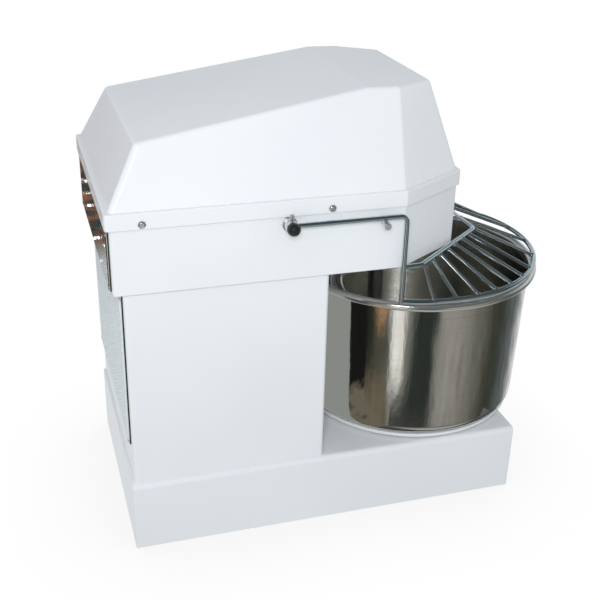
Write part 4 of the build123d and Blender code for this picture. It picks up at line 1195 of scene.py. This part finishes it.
shaft_low, shaft_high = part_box("spiral_shaft")
hook_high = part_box("spiral_hook")[1]
spiral_axis = Vector(((shaft_low.x + shaft_high.x) / 2, (shaft_low.y + shaft_high.y) / 2, 0.0))
hook_mesh = grown("kneading_hook", drawn("start", [(0, 0, 0)]), hook_tool(), Turns=HOOK_TURNS,
                  Radius=HOOK_RADIUS, Tip_radius=HOOK_TIP_RADIUS, Bar_radius=HOOK_BAR, Top=HOOK_TOP,
                  Bottom=HOOK_LOW, Flattening=HOOK_FLATTENING, Axis=spiral_axis,
                  Finish=FINISHES["mirror_steel"])
print("hook coil", len(hook_mesh.polygons), "faces")

# %% [markdown]
# The coil hangs from a turned hub that slips over the drive shaft. Rounded edges and two grooves are what a
# lathe leaves on such a hub. Coil and hub are welded, so they become one piece.

# %% Hub
HUB_RADIUS = 32 * MM
HUB_EDGE = 3 * MM
HUB_STEPS = 96
GROOVE = 1.2 * MM
GROOVE_HEIGHTS = (0.3, 0.7)


def joined(name, finish, *meshes):
    """Several meshes as one, in one finish."""
    def gather(work):
        for mesh in meshes:
            work.from_mesh(mesh)
        for face in work.faces:
            face.material_index = 0

    whole = reworked(drawn(name, []), gather)
    whole.materials.append(finish)
    return whole


def hub_outline(bottom, seat_height, top, bore):
    inner = HUB_RADIUS - HUB_EDGE
    outline = [(0.0, bottom), *arc((inner, bottom + HUB_EDGE), HUB_EDGE, -90, 0, steps=6)]
    for share in GROOVE_HEIGHTS:
        height = bottom + (top - bottom) * share
        outline += [(HUB_RADIUS, height - GROOVE), (HUB_RADIUS - GROOVE, height)]
        outline.append((HUB_RADIUS, height + GROOVE))
    outline += arc((inner, top - HUB_EDGE), HUB_EDGE, 0, 90, steps=6)
    return outline + [(bore, top), (bore, seat_height), (0.0, seat_height)]


shaft_radius = (shaft_high.x - shaft_low.x) / 2
hub_profile = hub_outline(HOOK_TOP, shaft_low.z, hook_high.z, shaft_radius)
hub_mesh = turned_piece("hub", hub_profile, spiral_axis, HUB_STEPS)
kneading_hook = joined("kneading_hook", FINISHES["mirror_steel"], hook_mesh, hub_mesh)
seat("kneading_hook", kneading_hook, "spiral_group", "mirror_steel", "spiral_hook")

# %% [markdown]
# Beside the hook stands the breaker bar, a plain post with a rounded foot that holds the dough back while the
# bowl turns; its flange is bolted under the head. Its steel is duller than the bowl's, and its tone is
# painted dark, a painted reflection of dark surroundings, so it shows as a dark upright band before the
# bright wall.

# %% Breaker post
POST_RADIUS = 14 * MM
POST_FOOT = 8 * MM
POST_STEPS = 64
FLANGE_HEIGHT = 10 * MM
FLANGE_EDGE = 1.5 * MM


def soft_block(name, low, high, edge):
    """A box with rounded edges."""
    def carve(work):
        bmesh.ops.create_cube(work, size=1.0)
        bmesh.ops.scale(work, vec=high - low, verts=work.verts)
        bmesh.ops.translate(work, vec=(low + high) / 2, verts=work.verts)
        bmesh.ops.bevel(work, geom=work.edges[:], offset=edge, segments=3, profile=0.5, affect="EDGES")

    return reworked(drawn(name, []), carve)


# Painted reflection: the post's tone is painted dark, as polished steel looks when it mirrors dark
# surroundings
POST_STEEL_PAINTED_DARK = turned_metal(
    "dark_steel", tones=((0.20, 0.20, 0.185), (0.15, 0.15, 0.14)), gloss=(0.3, 0.45), lines=1500.0,
    breaks=4.0, depth=0.05 * MM)
breaker_low, breaker_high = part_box("breaker_bar")
breaker_axis = (breaker_low + breaker_high) / 2
flange_low = Vector((breaker_low.x, breaker_low.y, breaker_high.z - FLANGE_HEIGHT))
foot = arc((POST_RADIUS - POST_FOOT, breaker_low.z + POST_FOOT), POST_FOOT, -90, 0, steps=10)
post_outline = [(0.0, breaker_low.z), *foot, (POST_RADIUS, flange_low.z), (0.0, flange_low.z)]
post_mesh = turned_piece("post", post_outline, breaker_axis, POST_STEPS)
flange_mesh = soft_block("flange", flange_low, breaker_high, FLANGE_EDGE)
breaker_post = joined("breaker_post", POST_STEEL_PAINTED_DARK, post_mesh, flange_mesh)
seat("breaker_post", breaker_post, "frame", "mirror_steel", "breaker_bar")

# %% [markdown]
# Pan-head screws hold the hood and both rear panels. A head is a short cylinder that a large sphere cuts to a
# dome and two crossed blocks cut a recess into. Mesh Boolean nodes do the cutting, so the sizes of the head
# stay open until the tool is used.

# %% Screw head
SCREW_SIDES = 32
DOME_SIDES = 48
# Width of the recess as a share of its length
RECESS_SHAPE = 0.28


def cut(tree, first, second, operation):
    made = add(tree, "GeometryNodeMeshBoolean", {"Mesh 2": second}, operation=operation, solver="EXACT")
    tree.links.new(first, made.inputs["Mesh 1" if operation == "DIFFERENCE" else "Mesh 2"])
    return made.outputs[0]


def moved(tree, geometry, z):
    place = combined(tree, z=z)
    return put(tree, "GeometryNodeTransform", {"Geometry": geometry, "Translation": place})


def cylinder(tree, sides, radius, height, middle):
    """A cylinder on the axis; the middle is a share of its height."""
    drum = put(tree, "GeometryNodeMeshCylinder", {"Vertices": sides, "Radius": radius, "Depth": height})
    return moved(tree, drum, calc(tree, "MULTIPLY", height, middle))


def screw_head(tree, given):
    radius, height, crown = given["Head radius"], given["Head height"], given["Crown"]
    drum = cylinder(tree, SCREW_SIDES, radius, height, 0.5)
    squares = calc(tree, "MULTIPLY_ADD", radius, radius, calc(tree, "MULTIPLY", crown, crown))
    dome = calc(tree, "DIVIDE", squares, calc(tree, "MULTIPLY", crown, 2.0))
    sockets = {"Segments": DOME_SIDES, "Rings": DOME_SIDES, "Radius": dome}
    ball = moved(tree, put(tree, "GeometryNodeMeshUVSphere", sockets), calc(tree, "SUBTRACT", height, dome))
    head = cut(tree, drum, ball, "INTERSECT")
    wide, narrow = given["Recess"], calc(tree, "MULTIPLY", given["Recess"], RECESS_SHAPE)
    for x, y in ((wide, narrow), (narrow, wide)):
        blade = put(tree, "GeometryNodeMeshCube", {"Size": combined(tree, x, y, height)})
        head = cut(tree, head, moved(tree, blade, height), "DIFFERENCE")
    return head


print("screw head ready")

# %% [markdown]
# The finished screw is placed on points whose stored "facing" direction turns it outwards. A seeded turn
# about its own axis leaves each recess where the screw happened to come tight.

# %% Screw tool
SHANK_SIDES = 16


def screw_turn(tree, seed):
    """Outwards by the stored direction, then by chance about the screw's own axis."""
    sockets = {"Name": "facing"}
    facing = put(tree, "GeometryNodeInputNamedAttribute", sockets, data_type="FLOAT_VECTOR")
    outwards = put(tree, "FunctionNodeAlignRotationToVector", {"Vector": facing}, axis="Z")
    sockets = {2: 0.0, 3: math.pi, "Seed": seed}
    chance = add(tree, "FunctionNodeRandomValue", sockets, data_type="FLOAT").outputs[1]
    roll = put(tree, "FunctionNodeAxisAngleToRotation", {"Axis": (0, 0, 1), "Angle": chance})
    sockets = {"Rotation": outwards, "Rotate By": roll}
    return put(tree, "FunctionNodeRotateRotation", sockets, rotation_space="LOCAL")


def screw_tool():
    sizes = ("Head radius", "Head height", "Crown", "Recess", "Shank radius", "Shank length")
    tree, given = node_tool("pan_head_screws", **{label: "Float" for label in sizes}, Seed="Int")
    shank = cylinder(tree, SHANK_SIDES, given["Shank radius"], given["Shank length"], -0.5)
    screw = together(tree, screw_head(tree, given), shank)
    sockets = {"Points": given["Geometry"], "Instance": screw, "Rotation": screw_turn(tree, given["Seed"])}
    return finished(tree, put(tree, "GeometryNodeInstanceOnPoints", sockets), given["Finish"])


SCREWS = screw_tool()
print("screw tool with", len(SCREWS.nodes), "nodes")

# %% [markdown]
# Every screw has a solid in the frame, so its place is measured there and not typed in: all screws of a set
# are one node, and walking from point to point along its edges tells its separate solids apart.

# %% Screw places


def solid_middles(name):
    """Middle of every separate solid inside a node."""
    work = bmesh.new()
    work.from_mesh(nodes[name].data)
    bmesh.ops.remove_doubles(work, verts=work.verts, dist=SAME_PLACE)
    left, middles = set(work.verts), []
    while left:
        island, waiting = set(), [left.pop()]
        while waiting:
            vert = waiting.pop()
            island.add(vert)
            near = {edge.other_vert(vert) for edge in vert.link_edges} & left
            left -= near
            waiting += near
        spans = zip(*(vert.co for vert in island))
        middles.append(tuple((min(span) + max(span)) / 2 for span in spans))
    work.free()
    return [Vector(middle) for middle in sorted(middles)]


def facing_points(name, places):
    """Points that remember which way they face: a list of (place, direction)."""
    mesh = drawn(name, [place for place, _ in places])
    facing = mesh.attributes.new("facing", "FLOAT_VECTOR", "POINT")
    for slot, (_, direction) in zip(facing.data, places):
        slot.vector = direction
    return mesh


hood_middles, panel_middles = solid_middles("hood_screws"), solid_middles("panel_screws")
print(len(hood_middles), "hood screws and", len(panel_middles), "panel screws")

# %% [markdown]
# A screw's head sits on the face that the screw holds, so its place is pushed out to that face. Hood screws
# face sideways, panel screws backwards. The heads on the hood are larger than those on the panels.

# %% Hood screws and panel screws
SCREW_SEED = 3
# Length of the recess as a share of the head's radius
RECESS = 0.95
# Radius, height and crown of the heads, radius and length of the shanks
HOOD_HEAD = (5.5 * MM, 4.0 * MM, 2.4 * MM)
HOOD_SHANK = (2.5 * MM, 12 * MM)
PANEL_HEAD = (3.8 * MM, 2.2 * MM, 1.5 * MM)
PANEL_SHANK = (2.0 * MM, 10 * MM)


def screw_piece(name, places, head, shank, stands_for):
    mesh = grown(name, facing_points(name, places), SCREWS, Head_radius=head[0], Head_height=head[1],
                 Crown=head[2], Recess=head[0] * RECESS, Shank_radius=shank[0], Shank_length=shank[1],
                 Seed=SCREW_SEED, Finish=SATIN)
    seat(name, mesh, "frame", "bright_chrome", stands_for)


hood_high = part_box("hood_screws")[1]
hood_places = []
for middle in hood_middles:
    side = math.copysign(1.0, middle.x)
    under_head = Vector((side * (hood_high.x - HOOD_HEAD[1]), middle.y, middle.z))
    hood_places.append((under_head, Vector((side, 0, 0))))
screw_piece("hood_screw_set", hood_places, HOOD_HEAD, HOOD_SHANK, "hood_screws")

panel_places = []
for middle in panel_middles:
    panel = "column_rear_panel" if middle.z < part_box("head_rear_panel")[0].z else "head_rear_panel"
    panel_places.append((Vector((middle.x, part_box(panel)[1].y, middle.z)), Vector((0, 1, 0))))
screw_piece("panel_screw_set", panel_places, PANEL_HEAD, PANEL_SHANK, "panel_screws")

# %% [markdown]
# The column breathes through a perforated sheet at its back. Punched sheet is one small tile repeated: a
# rectangle with a twelve-sided hole. Rows are staggered by half a tile, so every second row ends in plain
# half tiles. The tool lays the tiles on points, welds them, and pushes the flat sheet to its thickness.
# Cutting the holes with a Boolean would be slower and leave long thin triangles.

# %% Perforated sheet tool
WELD = 0.05 * MM


def perforated_tool():
    tree, given = node_tool("perforated_sheet", Tile="Object", End="Object", Thickness="Float")
    plain = put(tree, "GeometryNodeInputNamedAttribute", {"Name": "plain"}, data_type="FLOAT")
    laid = []
    for label, operation in (("Tile", "LESS_THAN"), ("End", "GREATER_THAN")):
        pattern = add(tree, "GeometryNodeObjectInfo", {"Object": given[label]}).outputs["Geometry"]
        chosen = put(tree, "FunctionNodeCompare", {0: plain, 1: 0.5}, data_type="FLOAT", operation=operation)
        sockets = {"Points": given["Geometry"], "Selection": chosen, "Instance": pattern}
        laid.append(put(tree, "GeometryNodeInstanceOnPoints", sockets))
    flat = put(tree, "GeometryNodeRealizeInstances", {"Geometry": together(tree, *laid)})
    flat = put(tree, "GeometryNodeMergeByDistance", {"Geometry": flat, "Distance": WELD})
    sockets = {"Mesh": flat, "Offset": (0, -1, 0), "Offset Scale": given["Thickness"], "Individual": False}
    pushed = add(tree, "GeometryNodeExtrudeMesh", sockets, mode="FACES").outputs["Mesh"]
    solid = together(tree, pushed, put(tree, "GeometryNodeFlipFaces", {"Mesh": flat}))
    closed = put(tree, "GeometryNodeMergeByDistance", {"Geometry": solid, "Distance": WELD})
    return finished(tree, closed, given["Finish"])


PERFORATED = perforated_tool()
print("perforated sheet tool with", len(PERFORATED.nodes), "nodes")

# %% [markdown]
# A tile needs only a dozen quads between its edge and its hole, and neighbouring tiles meet at the same
# points, also across staggered rows. That is what lets the tool weld them into one closed sheet.

# %% Tiles and their places
HOLE_SIDES = 12


def tile_mesh(width, height, hole):
    """One tile in the XZ plane: twelve places round its edge joined to a twelve-sided hole."""
    w, h = width / 2, height / 2
    edge = [(w, 0), (w, h), (w / 2, h), (0, h), (-w / 2, h), (-w, h)]
    edge += [(-x, -z) for x, z in edge]
    turns = [math.tau * i / HOLE_SIDES for i in range(HOLE_SIDES)]
    ring = [(hole * math.cos(turn), hole * math.sin(turn)) for turn in turns]
    after = [(i + 1) % HOLE_SIDES for i in range(HOLE_SIDES)]
    quads = [(i, HOLE_SIDES + i, HOLE_SIDES + after[i], after[i]) for i in range(HOLE_SIDES)]
    return drawn("tile", [(x, 0.0, z) for x, z in edge + ring], faces=quads)


def half_tile_mesh(width, height):
    w, h = width / 4, height / 2
    edge = [(w, 0), (w, h), (0, h), (-w, h)]
    edge += [(-x, -z) for x, z in edge]
    return drawn("half_tile", [(x, 0.0, z) for x, z in edge], faces=[tuple(reversed(range(len(edge))))])


def sheet_points(low, high, columns, rows):
    """Tile places in staggered rows, with a mark on the plain half tiles."""
    width, height = (high.x - low.x) / columns, (high.z - low.z) / rows
    places, plain = [], []
    for row in range(rows):
        z = low.z + height * (row + 0.5)
        staggered = row % 2
        for column in range(columns - staggered):
            places.append((low.x + width * (column + 0.5 + 0.5 * staggered), high.y, z))
            plain.append(0.0)
        if staggered:
            places += [(low.x + width / 4, high.y, z), (high.x - width / 4, high.y, z)]
            plain += [1.0, 1.0]
    mesh = drawn("sheet_points", places)
    mesh.attributes.new("plain", "FLOAT", "POINT").data.foreach_set("value", plain)
    return mesh, width, height


print("tiles with", HOLE_SIDES, "sided holes")

# %% [markdown]
# Both rear panels are trays: a punched sheet inside a folded edge whose outer corner is rounded, so that it
# catches a line of light. The column's sheet is lacquered, the head's is polished like the edges.

# %% Perforated rear panels
PANEL_BORDER = 2 * MM
PANEL_SHEET = 1.5 * MM
PANEL_EDGE = 0.8 * MM
# How far the rounding lies inside the corner, as a share of the edge
EDGE_ROUNDING = 0.3
TILE_WIDTH = 10.6 * MM
TILE_SHAPE = 0.866
# Radius of a hole as a share of its tile's width
HOLE_SHARE = 0.33


def tray_border(low, high):
    """Folded edge of the tray, its outer rear corner rounded off."""
    cut_back = PANEL_EDGE * EDGE_ROUNDING
    steps = [(0.0, low.y), (0.0, high.y - PANEL_EDGE), (cut_back, high.y - cut_back), (PANEL_EDGE, high.y),
             (PANEL_BORDER, high.y), (PANEL_BORDER, low.y)]
    points, faces = [], []
    for inset, y in steps:
        x, z = (low.x + inset, high.x - inset), (low.z + inset, high.z - inset)
        points += [(x[0], y, z[0]), (x[1], y, z[0]), (x[1], y, z[1]), (x[0], y, z[1])]
    for ring in range(len(steps)):
        here, there = 4 * ring, 4 * ((ring + 1) % len(steps))
        for i in range(4):
            after = (i + 1) % 4
            faces.append((here + i, here + after, there + after, there + i))
    return reworked(drawn("tray_border", points, faces=faces), outward)


def perforated_panel(name, node, slot, finish):
    """A punched tray that stands for a plain rear panel."""
    low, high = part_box(node)
    inset = Vector((PANEL_BORDER, 0, PANEL_BORDER))
    columns = round((high.x - low.x) / TILE_WIDTH)
    rows = round((high.z - low.z) / (TILE_WIDTH * TILE_SHAPE))
    points, width, height = sheet_points(low + inset, high - inset, columns, rows)
    tile = bpy.data.objects.new("tile", tile_mesh(width, height, width * HOLE_SHARE))
    half_tile = bpy.data.objects.new("half_tile", half_tile_mesh(width, height))
    for pattern in (tile, half_tile):
        scene.collection.objects.link(pattern)
    sheet = grown("sheet", points, PERFORATED, Tile=tile, End=half_tile, Thickness=PANEL_SHEET, Finish=finish)
    for pattern in (tile, half_tile):
        bpy.data.objects.remove(pattern)
    seat(name, reworked(sheet, outward), "frame", slot, node)
    edge = tray_border(low, high)
    edge.materials.append(POLISH)
    seat(name + "_edge", edge, "frame", "mirror_steel")


perforated_panel("perforated_column_panel", "column_rear_panel", "pale_sheet", FINISHES["pale_sheet"])
perforated_panel("perforated_head_panel", "head_rear_panel", "mirror_steel", POLISH)
